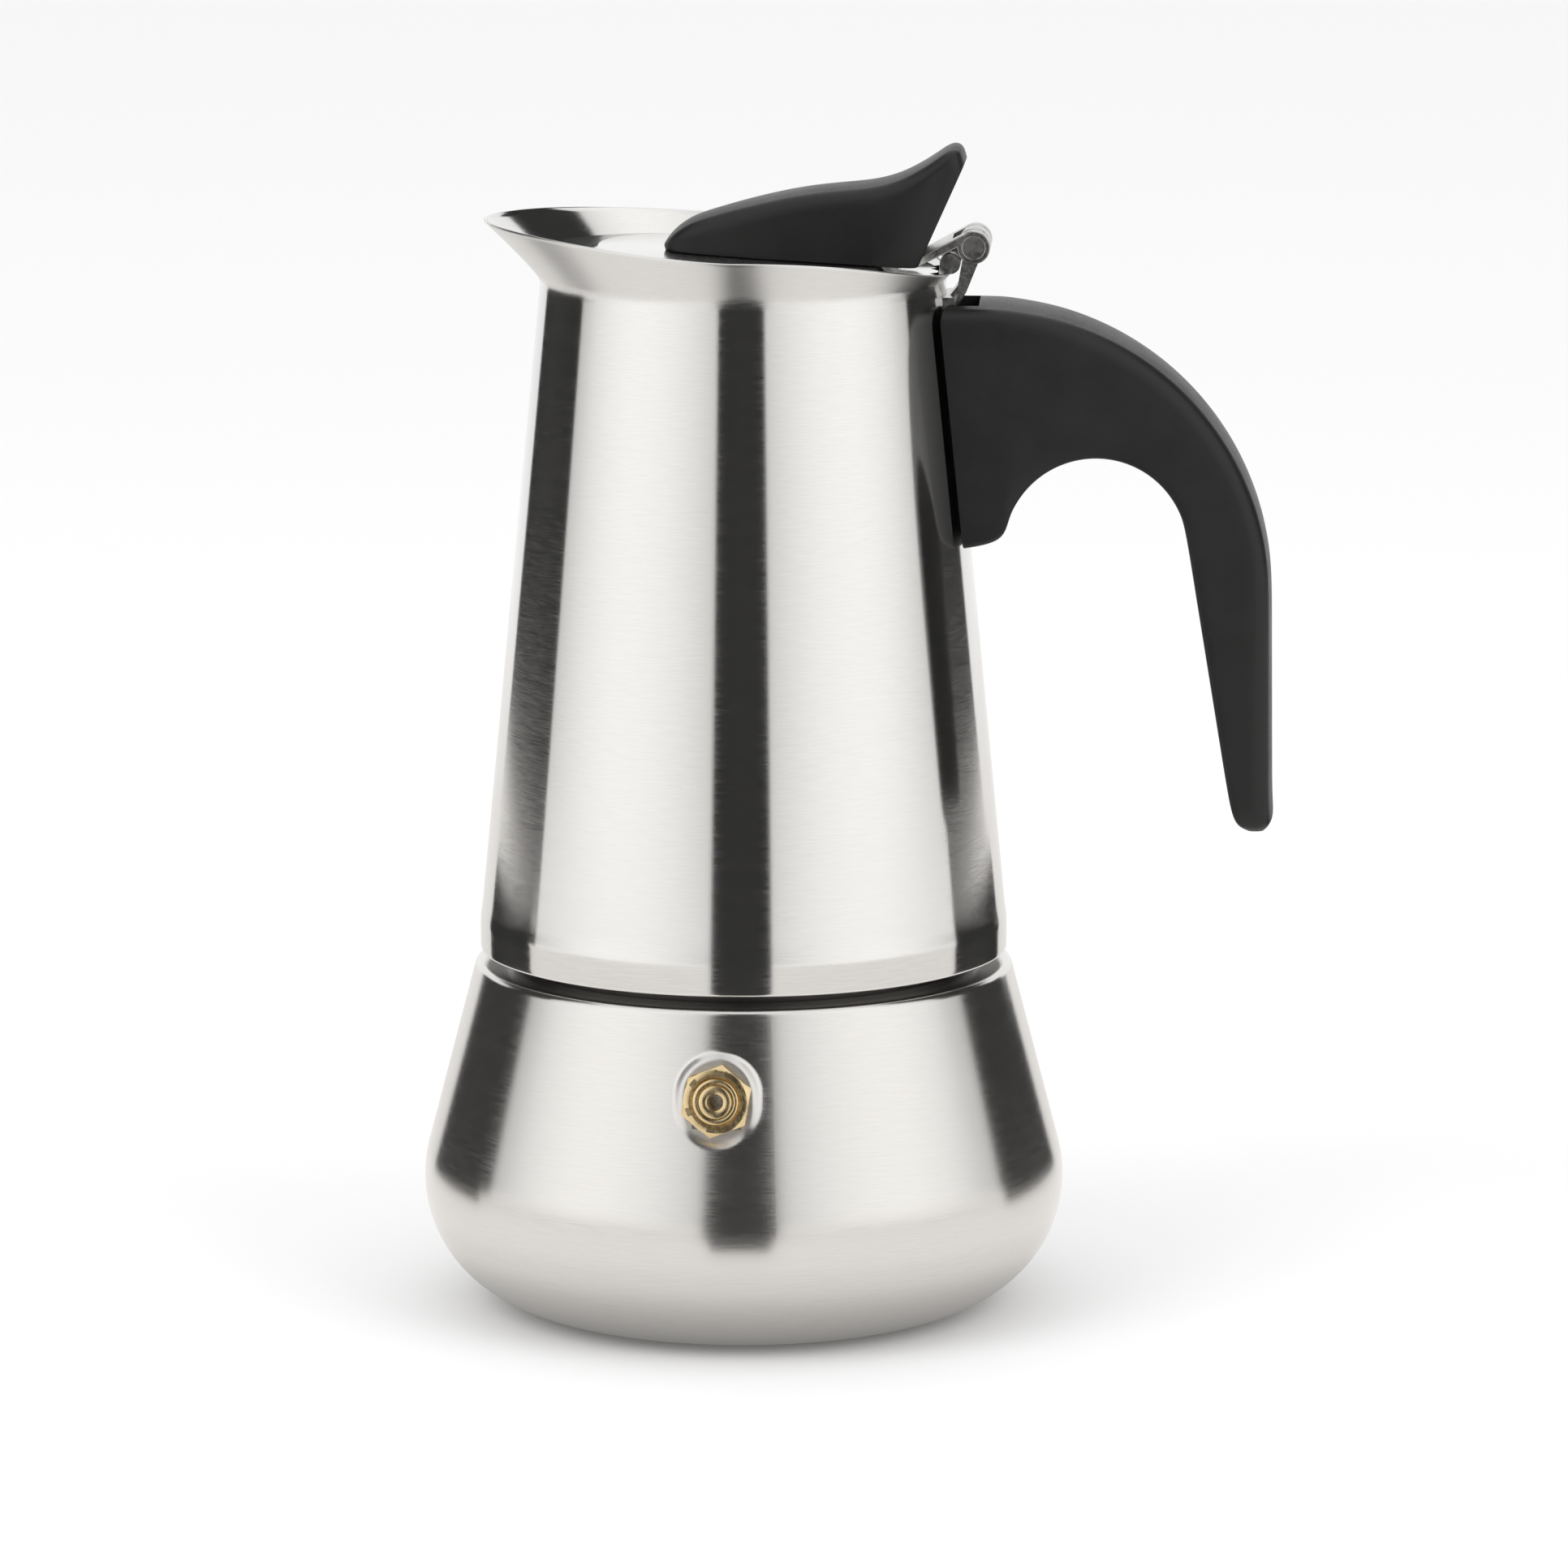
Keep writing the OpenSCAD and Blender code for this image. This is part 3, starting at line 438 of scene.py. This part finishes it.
def boiler_angles():
    """Fine steps where the valve's flat is pressed, wider ones elsewhere."""
    near, step = math.radians(11), math.radians(0.35)
    count = round(2 * near / step)
    fine = [VALVE_TURN - near + 2 * near * i / count for i in range(count)]
    rest = 2 * math.pi - 2 * near
    wide = round(rest / math.radians(1.5))
    return fine + [VALVE_TURN + near + rest * i / wide for i in range(wide)]


def press_flat(p):
    """Moves a point of the outer wall onto the oval flat round the valve, with a rounded edge."""
    local = AT_VALVE.inverted() @ Vector(p)
    side = max(0.0, abs(local.x) - PAD_UP)
    out = math.hypot(side, local.y) - PAD_R
    if out > PAD_EDGE or abs(local.z) > 4:
        return p
    local.z = mix(-0.02, local.z, smooth(out / PAD_EDGE)) if local.z > -1.6 else local.z
    return AT_VALVE @ local


def boiler():
    verts, faces = lathe(boiler_profile, boiler_angles())
    verts = [press_flat(v) for v in verts]
    piece("boiler_body", verts, faces, BOILER_STEEL, "boiler", ["boiler_shell"], sharp=40)


# ---- threads ----

PITCH, THREAD_H = 4, 1
ROOT_R = 36.92
LIP_Z = corner("boiler_neck_ring", 1).z
NECK_LOW = corner("boiler_neck_ring", 0).z


def phase(a, z):
    u = (z - BOILER_H) / PITCH - a / (2 * math.pi)
    return u - math.floor(u + 0.5)


def ridge(u, flat, foot):
    return clamp((foot - abs(u)) / (foot - flat))


def run_in(z, low, high):
    return clamp(min(z - low, high - z) / 1.2)


def neck_profile(a):
    inner, low, bore = ROOT_R - 2.1, NECK_LOW, NECK_R + 2
    z0, z1 = BOILER_H + 1, LIP_Z - 1
    rows = [mix(z0, z1, k / 72) for k in range(73)]
    thread = [(ROOT_R + THREAD_H * smooth(ridge(phase(a, z), 0.1, 0.28)) * run_in(z, z0, z1), z) for z in rows]
    return ([(inner + 0.3, LIP_Z), (inner, LIP_Z - 0.3), (inner, low), (bore, low), (bore, low + 1.5),
             (NECK_R, low + 1.5), (NECK_R, BOILER_H)] + thread
            + [(NECK_R, z1 + 0.3), (NECK_R - 0.2, LIP_Z - 0.2), (NECK_R - 0.5, LIP_Z)])


def base_profile(a):
    z0, z1 = SEAM_Z + 0.9, LIP_Z + 0.9
    socket, wall_in = ROOT_R + THREAD_H + 0.25, BAND_R - SHELL_WALL
    lug, floor = socket + 1.15, BASE_IN_Z - 1.2
    rows = [mix(z1, z0, k / 72) for k in range(73)]
    thread = [(ROOT_R + 0.25 + THREAD_H * max(smooth(ridge(phase(a, z), 0.17, 0.36)), 1 - run_in(z, z0, z1)), z)
              for z in rows]
    return thread + [(socket, SEAM_Z + 0.5), (wall_in, SEAM_Z + 0.5), (wall_in, SEAM_Z + 1.5), (lug, SEAM_Z + 1.5),
                     (lug, floor + 0.2), (cone_r(floor + 0.2) - SHELL_WALL, floor + 0.2),
                     (cone_r(BASE_IN_Z) - SHELL_WALL, BASE_IN_Z), (4, BASE_IN_Z), (4, floor), (socket, floor)]


# ---- collector ----


def cone_r(z):
    return CONE_R0 - (z - CONE_Z0) * CONE_SLOPE


def rim(a):
    """Radius and height of the collar's edge at an angle."""
    turn = math.degrees(a) % 360
    c, d = math.cos(a), abs(180 - turn)
    r = (CREASE_R + mix(SIDE_FLARE, BACK_FLARE, max(0, c))
         + (SPOUT_REACH - SIDE_FLARE) * math.exp(-((d / SPOUT_WIDTH) ** 1.7)))
    top = mix(SIDE_H, SPOUT_H, (-c) ** 1.3) if c < 0 else mix(SIDE_H, BACK_H, c ** 2.2)
    return r, CREASE_Z + top


def collector_profile(a):
    bead = 0.55
    start = math.degrees(math.acos((SHELL_WALL - bead) / bead)) - 180
    bottom = arc(BAND_R - bead, SEAM_Z + bead, bead, start, 0, 12)
    band = spline([(BAND_R, SEAM_Z + 1.2), (BAND_R, BAND_TOP - 0.6), (BAND_R - 0.05, BAND_TOP + 0.6),
                   (CONE_R0 + 0.16, CONE_Z0 - 1.4), (CONE_R0, CONE_Z0), (cone_r(CONE_Z0 + 2), CONE_Z0 + 2)], 5)
    crease = (CREASE_R - 0.02, CREASE_Z)
    cone = line(band[-1], (cone_r(CREASE_Z - 0.9), CREASE_Z - 0.9), 44)
    edge_r, edge_z = rim(a)
    rows = 16

    def sheet(t, inset):
        return mix(crease[0], edge_r, t ** 1.1) - inset, mix(crease[1], edge_z, t)

    half = (COLLAR_WALL - 0.06) / 2
    turn_in = [(cone_r(CREASE_Z - 0.45), CREASE_Z - 0.45)]
    outer = [sheet(k / rows, 0) for k in range(1, rows + 1)]
    lip = [(edge_r - half + half * math.cos(t), edge_z + half * math.sin(t))
           for t in (math.radians(d) for d in range(15, 180, 15))]
    inner = [sheet(k / rows, 2 * half) for k in range(rows, 0, -1)]
    down = [(crease[0] - SHELL_WALL, CREASE_Z - 1)] + line(
        (crease[0] - SHELL_WALL, CREASE_Z - 1), (CONE_R0 - SHELL_WALL, CONE_Z0), 12)
    return bottom + band + cone + turn_in + outer + lip + inner + down + [(BAND_R - SHELL_WALL, BAND_TOP)]


# ---- lid ----

ON_LID = Matrix.Translation((0, 0, LID_Z)) @ Matrix.Rotation(LID_TILT, 4, "Y")


def lid_profile(_):
    t, top, edge = LID_WALL, PLATEAU_H, 0.4
    face = ([(0, top)] + line((0, top), (PLATEAU_R - 0.4, top), 6) + arc(PLATEAU_R - 0.4, top - 0.5, 0.5, 80, 40, 4)
            + arc(PLATEAU_R + 1.9, 0.45, 0.45, 215, 265, 4))
    rim_edge = arc(LID_R - edge, -edge, edge, 90, 0, 6)
    under = [(LID_R, -1.45), (LID_R - 0.2, -1.6), (LID_R - t + 0.1, -1.6), (LID_R - t, -1.45), (LID_R - t, -t - 0.3),
             (LID_R - t - 0.3, -t), (PLATEAU_R + 1.3, -t), (PLATEAU_R - 0.3, top - t), (0, top - t)]
    return face + rim_edge + under


def slab(outline, y0, y1, edge=0.15):
    """Side outline of (x, z) points carried from y0 to y1, its rims taken in a little."""
    mid = [sum(c) / len(outline) for c in zip(*outline)]

    def ring(y, inset):
        return [(x + (mid[0] - x) * inset, y, z + (mid[1] - z) * inset) for x, z in outline]

    size = max(math.dist(p, mid) for p in outline)
    k = edge / size
    return rings_mesh([ring(y0, k), ring(y0 + edge, 0), ring(y1 - edge, 0), ring(y1, k)])


def lid_up(x):
    return LID_Z - x * math.tan(LID_TILT)


def lid():
    verts, faces = lathe(lid_profile, full_turn(220))
    piece("lid_plate", verts, faces, POLISHED, "lid", ["lid_disc"], ON_LID, 50)
    curl, c = 1.65, (CREASE_R + BACK_FLARE - 0.05, CREASE_Z + BACK_H + 1.65 + 0.45)
    outline = (arc(c[0], c[1], curl, -110, 180, 26)
               + [(c[0] - curl - 0.2, lid_up(LID_R) - 0.1), (LID_R - 4, lid_up(LID_R - 4) - 0.05),
                  (LID_R - 4, lid_up(LID_R - 4) - 0.5), (LID_R - 0.9, lid_up(LID_R) - 0.45)])
    for side in (-1, 1):
        near, far = sorted((side * 3.3, side * HINGE_W / 2))
        verts, faces = slab(outline, near, far)
        name = "lid_ear_left" if side < 0 else "lid_ear_right"
        piece(name, verts, faces, STAMPED, "lid")


# ---- black parts ----


def section(top, under, w, round_top, round_under, crown, place):
    """One ring of a handle: a box section from a top point to an under point, rounded at its four corners."""
    o, i = Vector(top), Vector(under)
    length = (i - o).length
    t = (i - o) / length
    c = min(crown, 0.1 * length)
    a = min(round_top, 0.42 * length, w * 0.6)
    b = min(round_under, 0.3 * length, w * 0.5)
    half = ([(0, 0)] + [(c * (f / (w - a)) ** 2 * 0.9, f) for f in ((w - a) * k / 5 for k in range(1, 5))]
            + arc(c + a, w - a, a, 180, 90, 9) + [(mix(c + a, length - b, k / 6), w) for k in range(1, 6)]
            + arc(length - b, w - b, b, 90, 0, 6) + [(length, (w - b) * k / 4) for k in range(3, 0, -1)])
    ring = half + [(length, 0)] + [(u, -y) for u, y in half[:0:-1]]
    return [place(o + t * u, y) for u, y in ring]


def upright(p, y):
    return p.x, y, p.y


def capped(rings, shrink=(0.75, 0.4)):
    """Adds smaller rings at both ends, so that the end faces are made of small faces too."""
    def inset(ring, k):
        mid = sum((Vector(p) for p in ring), Vector()) / len(ring)
        return [tuple(mid + (Vector(p) - mid) * k) for p in ring]

    first = [inset(rings[0], k) for k in reversed(shrink)]
    last = [inset(rings[-1], k) for k in shrink]
    return first + rings + last


CURVE = Vector((GRIP_X - GRIP_ROUND, HANDLE_TOP - GRIP_ROUND))
ARCH = CURVE + Vector((18.2, 7.6))
LEG_LEAN = math.radians(9.5)
LOBE_X = CREASE_R + (CREASE_Z - ARCH.y) * CONE_SLOPE + 0.3
SCREW_Z = ARCH.y + 8.2


def round_point(mid, r, degrees):
    t = math.radians(degrees)
    return [mid.x + r * math.cos(t), mid.y + r * math.sin(t)]


def handle_rows():
    """Outer point, inner point and half width of each section, from the pot to the end of the grip."""
    w, g = HANDLE_HALF_W, GRIP_HALF_W
    leg = round_point(ARCH, ARCH_R, math.degrees(LEG_LEAN))

    def leg_x(z):
        return leg[0] + (leg[1] - z) * math.tan(LEG_LEAN)

    rows = [[CREASE_R - 5, HANDLE_TOP, LOBE_X - 5, ARCH.y - 0.5, w],
            [CREASE_R + 3, HANDLE_TOP + 0.05, LOBE_X + 1.4, ARCH.y + 0.4, w],
            [CURVE.x + 2, HANDLE_TOP, LOBE_X + 5.1, ARCH.y + 1.8, w]]
    for i in range(13):
        t = i / 12
        u = t ** 1.15
        rows.append(round_point(CURVE, GRIP_ROUND, mix(84, 0, t))
                    + round_point(ARCH, ARCH_R, mix(160, math.degrees(LEG_LEAN), u)) + [mix(w, g, clamp(t * 1.6))])
    for i in range(1, 5):
        z, low = mix(CURVE.y, HANDLE_END + 5.5, i / 4), mix(leg[1], HANDLE_END + 6.5, i / 4)
        rows.append([GRIP_X + 0.1 * i, z, leg_x(low), low, g - 0.1 * i])
    end = leg_x(HANDLE_END)
    rows += [[GRIP_X + 0.6, HANDLE_END + 2.4, end - 0.2, HANDLE_END + 2.6, g - 0.8],
             [GRIP_X + 0.3, HANDLE_END + 0.8, end + 0.8, HANDLE_END + 0.9, g - 1.6],
             [GRIP_X - 0.7, HANDLE_END, end + 2.2, HANDLE_END, g - 3]]
    return rows


def eased(rows, passes):
    """Rows of numbers with their kinks taken out; the first and last two rows stay."""
    for _ in range(passes):
        rows = (rows[:2] + [tuple((a + 2 * b + c) / 4 for a, b, c in zip(*rows[i - 1:i + 2]))
                            for i in range(2, len(rows) - 2)] + rows[-2:])
    return rows


def handle():
    rows = eased(spline(handle_rows(), 5), 6)
    rings = [section(r[0:2], r[2:4], r[4], 3, 0.9, 0.5, upright) for r in rows]
    verts, faces = rings_mesh(capped(rings))
    obj = piece("handle_grip", verts, faces, BLACK, "collector", ["handle"], sharp=38)
    boss = cone_r(SCREW_Z) + 1.4 + 2.4
    seat = boss + 1.4
    gap = SADDLE_GAP
    core = lathe(lambda a: [(0, SEAM_Z), (BAND_R + gap, SEAM_Z), (BAND_R + gap, BAND_TOP), (CONE_R0 + gap, CONE_Z0),
                            (CREASE_R + gap, CREASE_Z), (CREASE_R + gap, CREASE_Z + 1), (0, CREASE_Z + 1)],
                 full_turn(240))
    w = HINGE_W / 2 + 0.2
    cut(obj, [core, block(20, CREASE_R + 3.4, w, CREASE_Z - 5.5, CREASE_Z + 4),
              block(20, cone_r(SCREW_Z) + 2.2, w, SCREW_Z - 6.4, CREASE_Z),
              rod((20, 0, SCREW_Z), (boss + 0.1, 0, SCREW_Z), 3.7),
              rod((20, 0, SCREW_Z), (seat + 0.1, 0, SCREW_Z), 2.15),
              rod((seat, 0, SCREW_Z), (ARCH.x, 0, SCREW_Z), 4.2)])


def knob_rows():
    b, w, front, back = PLATEAU_H, 8.5, -12.6, PLATEAU_R + 4.7
    tip_x, tip_z = back + 5.6, 20.7
    crown = b + 12.9
    return [[front, b + 0.9, front + 0.3, b, 3.2], [front + 0.9, b + 2.4, front + 0.9, b, 5],
            [front + 3.6, b + 5, front + 3.2, b, 6.8], [-4, b + 7, -5, b, 7.9], [2.5, b + 9.2, 2, b, w],
            [9.5, b + 11.1, 9, b, w], [15.5, b + 12.1, 14.5, b, w], [tip_x - 13.3, crown, back - 9.2, b, w],
            [tip_x - 9.4, mix(crown, tip_z, 0.2), back - 6, b, w - 0.1],
            [tip_x - 6.2, mix(crown, tip_z, 0.48), back - 4, b, w - 0.3],
            [tip_x - 3.6, mix(crown, tip_z, 0.76), back - 2.2, b, w - 0.6],
            [tip_x - 1.5, tip_z, back - 0.9, b, w - 1], [tip_x + 0.2, tip_z - 0.3, back - 0.3, b + 0.1, w - 1.2],
            [tip_x + 0.9, tip_z - 2.2, back, b + 0.3, w - 1.6]]


def knob():
    rows = eased(spline(knob_rows(), 5), 8)
    rings = [section(r[0:2], r[2:4], r[4], 3, 0.6, 0.4, upright) for r in rows]
    rings = [[tuple(ON_LID @ Vector(p)) for p in ring] for ring in rings]
    verts, faces = rings_mesh(capped(rings))
    obj = piece("lid_handle", verts, faces, BLACK, "lid", ["lid_knob"], sharp=38)
    w = HINGE_W / 2 + 0.15
    slot_verts, slot_faces = block(5.8, 60, w, PLATEAU_H - 1, PLATEAU_H + 0.85)
    cut(obj, [([tuple(ON_LID @ Vector(v)) for v in slot_verts], slot_faces)])


# ---- safety valve ----


def hex_r(a, flats):
    turn = (a - math.radians(-9)) % math.radians(60) - math.radians(30)
    return flats / 2 / math.cos(turn)


def valve_profile(a):
    full = hex_r(a, VALVE_FLATS)
    flat = VALVE_FLATS / 2
    over = full - flat
    top = VALVE_HEAD_H
    side = [(full - 0.12, 0.02), (full, 0.14)]
    chamfer = [(full, top - 0.12 - over * 0.75), (mix(flat, full, 0.5), top - 0.06 - over * 0.36),
               (flat - 0.15, top)]
    rings = [(4.2, top), (4.1, top - 0.22), (3.85, top - 0.22), (3.6, top + 0.1), (3.55, top + 0.42),
             (3.4, top + 0.5), (2.95, top + 0.5), (2.75, top + 0.42), (2.7, top + 0.55), (2.55, top + 1.12),
             (2.4, top + 1.2), (1.6, top + 1.2), (1.32, top + 1.1), (1.25, top + 0.9)]
    shank = [(1.25, -5), (4.0, -5), (4.0, 0.02)]
    return side + chamfer + rings + shank


# ---- build ----

boiler()
verts, faces = lathe(neck_profile, full_turn(240))
piece("neck_thread", verts, faces, THREADED, "boiler", ["boiler_neck_ring"], sharp=50)
verts, faces = lathe(collector_profile, full_turn(360))
collector = piece("collector_body", verts, faces, COLLECTOR_STEEL, "collector",
                  ["collector_shell"], sharp=50)
collector.data.materials.append(POLISHED)
for face in collector.data.polygons:
    inward = face.normal.xy.dot(face.center.xy) < 0
    face.material_index = 1 if inward and face.center.z > CREASE_Z * MM else 0
verts, faces = lathe(base_profile, full_turn(240))
piece("collector_floor", verts, faces, THREADED, "collector", ["collector_base"], sharp=50)
verts, faces = lathe(valve_profile, full_turn(216))
piece("valve_fitting", verts, faces, BRASS, "boiler", ["valve_body"], AT_VALVE, 30)
lid()
handle()
knob()
for node in ("funnel_cup", "funnel_screen", "funnel_stem", "filter_plate", "column_tube", "column_cap"):
    finish_cad(node, PLAIN)
for node in ("handle_bracket", "lid_hinge_leaf"):
    finish_cad(node, STAMPED, 0.15)
for node in ("handle_screw", "hinge_pin", "knob_screws"):
    finish_cad(node, SCREW)
# The spring and plunger get the near-black steel: painted shade inside the valve
for node in ("valve_spring", "valve_plunger"):
    finish_cad(node, BORE_SHADE_STEEL)
for node in ("valve_nut", "valve_seat"):
    finish_cad(node, BRASS)
for node in ("gasket", "valve_washer"):
    finish_cad(node, SILICONE)

# ---- stage ----


def floor():
    n = Nodes("floor_paper")
    where = n.add("ShaderNodeTexCoord").outputs["Object"]
    grain = n.noise(where, 400, 2.0)
    n.set(Base_Color=n.two_tone(grain, (0.905, 0.905, 0.91), (0.915, 0.915, 0.92)), Roughness=0.8)
    bpy.ops.mesh.primitive_plane_add(size=24, location=(0, 0, -0.0001))
    obj = bpy.context.object
    obj.name = "floor"
    obj.data.materials.append(n.material)


def reflections_only(obj):
    obj.visible_camera = False
    obj.visible_diffuse = False
    obj.visible_shadow = False
    obj.visible_transmission = False


def painted(name):
    """Glow that follows the colours painted on a card's corners."""
    n = Nodes(name)
    paint = n.add("ShaderNodeAttribute", {"attribute_name": "shade"})
    glow = n.add("ShaderNodeEmission", Color=paint.outputs["Color"])
    n.tree.links.new(glow.outputs[0], n.tree.nodes["Material Output"].inputs["Surface"])
    return n.material


CARD = painted("card")


def card(name, rows, shade, steps=24):
    """A curved card round the pot that only reflections see. Each row is (reach, height, from, to): metres, and
    degrees round the pot, where 0 is the front and 90 is +X. shade(t, row) is its grey, with t from 0 to 1."""
    verts, greys = [], []
    for k, (reach, height, start, end) in enumerate(rows):
        for i in range(steps + 1):
            t = math.radians(mix(start, end, i / steps))
            verts.append((reach * math.sin(t), -reach * math.cos(t), height))
            greys.append(shade(i / steps, k))
    m = steps + 1
    faces = [(k * m + i, k * m + i + 1, (k + 1) * m + i + 1, (k + 1) * m + i)
             for k in range(len(rows) - 1) for i in range(steps)]
    mesh = bpy.data.meshes.new(name)
    mesh.from_pydata(verts, [], faces)
    paint = mesh.color_attributes.new("shade", "FLOAT_COLOR", "POINT")
    for spot, grey in zip(paint.data, greys):
        spot.color = (grey, grey * 0.997, grey * 0.985, 1)
    obj = bpy.data.objects.new(name, mesh)
    bpy.context.scene.collection.objects.link(obj)
    obj.data.materials.append(CARD)
    reflections_only(obj)


# Shade of the paper in reflections: distance from the pot's axis in metres, and how light it is there
FLOOR_SHADE = ((0.036, 0.24), (0.047, 0.52), (0.057, 0.8), (0.075, 0.93), (0.13, 0.95), (0.24, 0.84), (0.7, 0.92))
FLOOR_CARD_R = 0.8
# Where the cards stand, in metres from the pot's axis, and the front one's span in degrees
FRONT_REACH, SIDE_REACH, LOW_REACH, PANEL_REACH = 0.3, 0.8, 0.2, 0.82
FRONT = (-9.9, 14.3)
STRIP_MIDDLE = 2.2
# The strip on the floor: distance from the axis, grey, half its span in degrees
STRIP = ((0.098, 0.8, 7.6), (0.116, 0.05, 8.4), (0.16, 0.04, 9.8), (0.3, 0.04, 12.6))


def floor_card():
    """A grey disc just over the floor, which only reflections see: the pot's own shade on the paper."""
    n = Nodes("floor_card")
    where = n.add("ShaderNodeTexCoord").outputs["Object"]
    away = n.add("ShaderNodeVectorMath", {"operation": "LENGTH"})
    n.join(where, away.inputs[0])
    ramp = n.add("ShaderNodeValToRGB")
    n.join(n.span(away.outputs["Value"], 0.0, FLOOR_CARD_R, 0.0, 1.0), ramp.inputs["Fac"])
    stops = ramp.color_ramp.elements
    stops[0].position, stops[1].position = FLOOR_SHADE[0][0] / FLOOR_CARD_R, FLOOR_SHADE[-1][0] / FLOOR_CARD_R
    for away_m, _ in FLOOR_SHADE[1:-1]:
        stops.new(away_m / FLOOR_CARD_R)
    for stop, (_, grey) in zip(stops, FLOOR_SHADE):
        stop.color = (grey, grey * 0.98, grey * 0.955, 1)
    glow = n.add("ShaderNodeEmission", Color=ramp.outputs["Color"])
    n.tree.links.new(glow.outputs[0], n.tree.nodes["Material Output"].inputs["Surface"])
    bpy.ops.mesh.primitive_circle_add(vertices=96, radius=FLOOR_CARD_R, fill_type="NGON", location=(0, 0, 0))
    obj = bpy.context.object
    obj.name = "floor_card"
    obj.data.materials.append(n.material)
    reflections_only(obj)


def dark(t, _):
    """Grey of the dark cards: a little lighter in the middle."""
    return 0.022 + 0.012 * math.sin(math.pi * t)


def panel(t, _):
    """Grey of the softboxes from the front strip outwards: brightest in the middle."""
    return 1.16 - 0.42 * abs(2 * t - 1) ** 2.2 if t < 0.5 else 1.16 - 0.6 * abs(2 * t - 1) ** 1.8


floor()
floor_card()


def upright_card(name, reach, rows, shade):
    """A card that stands upright. Each row is (height, from, to)."""
    card(name, [(reach, *row) for row in rows], shade)


upright_card("card_front", FRONT_REACH, [(0, *FRONT), (0.6, *FRONT)], dark)
upright_card("card_left", SIDE_REACH, [(0, -141, -97), (0.19, -141, -97), (0.235, -121, -88), (0.4, -121, -88),
                                       (0.46, -156, -92), (1.2, -156, -92)], dark)
upright_card("card_right", SIDE_REACH, [(0, 143, 106), (0.19, 143, 106), (0.235, 133, 94), (0.4, 133, 94),
                                        (0.46, 152, 98), (1.2, 152, 98)], dark)
upright_card("low_left", LOW_REACH, [(0, -131, -94), (0.05, -131, -94)], dark)
upright_card("low_right", LOW_REACH, [(0, 140, 99), (0.05, 140, 99)], dark)
upright_card("panel_left", PANEL_REACH, [(0.03, -10, -104), (1.3, -10, -104)], panel)
upright_card("panel_right", PANEL_REACH, [(0.03, 14, 112), (1.3, 14, 112)], panel)
card("floor_strip", [(reach, 0.0006, STRIP_MIDDLE - half, STRIP_MIDDLE + half) for reach, _, half in STRIP],
     lambda _, k: STRIP[k][1])

world = bpy.data.worlds.new("studio")
bpy.context.scene.world = world
world.use_nodes = True
sky = world.node_tree.nodes["Background"]
sky.inputs["Color"].default_value = (1.0, 1.0, 1.0, 1)
sky.inputs["Strength"].default_value = 1.0


def softbox(name, where, size, power):
    light = bpy.data.lights.new(name, "AREA")
    light.shape, light.size, light.size_y, light.energy = "RECTANGLE", size[0], size[1], power
    obj = bpy.data.objects.new(name, light)
    bpy.context.scene.collection.objects.link(obj)
    obj.visible_glossy = False
    obj.location = where
    obj.rotation_euler = (Vector((0, 0, 0.09)) - Vector(where)).to_track_quat("-Z", "Y").to_euler()
    return obj


softbox("key", (-0.9, -0.9, 1.1), (0.9, 0.9), 6)
softbox("fill", (1.0, -0.8, 0.9), (0.9, 0.9), 5)

CAMERA_TURN = math.radians(3)
CAMERA_RISE = math.radians(10.42)
CAMERA_AWAY = 1.4
AIM = Vector((0.00653, 0, 0.08487))
lens = bpy.data.cameras.new("camera")
lens.lens, lens.sensor_width = 198.8, 36
lens.clip_start, lens.clip_end = 0.05, 60
camera = bpy.data.objects.new("camera", lens)
bpy.context.scene.collection.objects.link(camera)
turned = Matrix.Rotation(CAMERA_TURN, 4, "Z")
camera.location = turned @ (AIM + Vector((0, -math.cos(CAMERA_RISE), math.sin(CAMERA_RISE))) * CAMERA_AWAY)
camera.rotation_euler = (math.pi / 2 - CAMERA_RISE, 0, CAMERA_TURN)
bpy.context.scene.camera = camera
bpy.context.scene.view_settings.view_transform = "Standard"
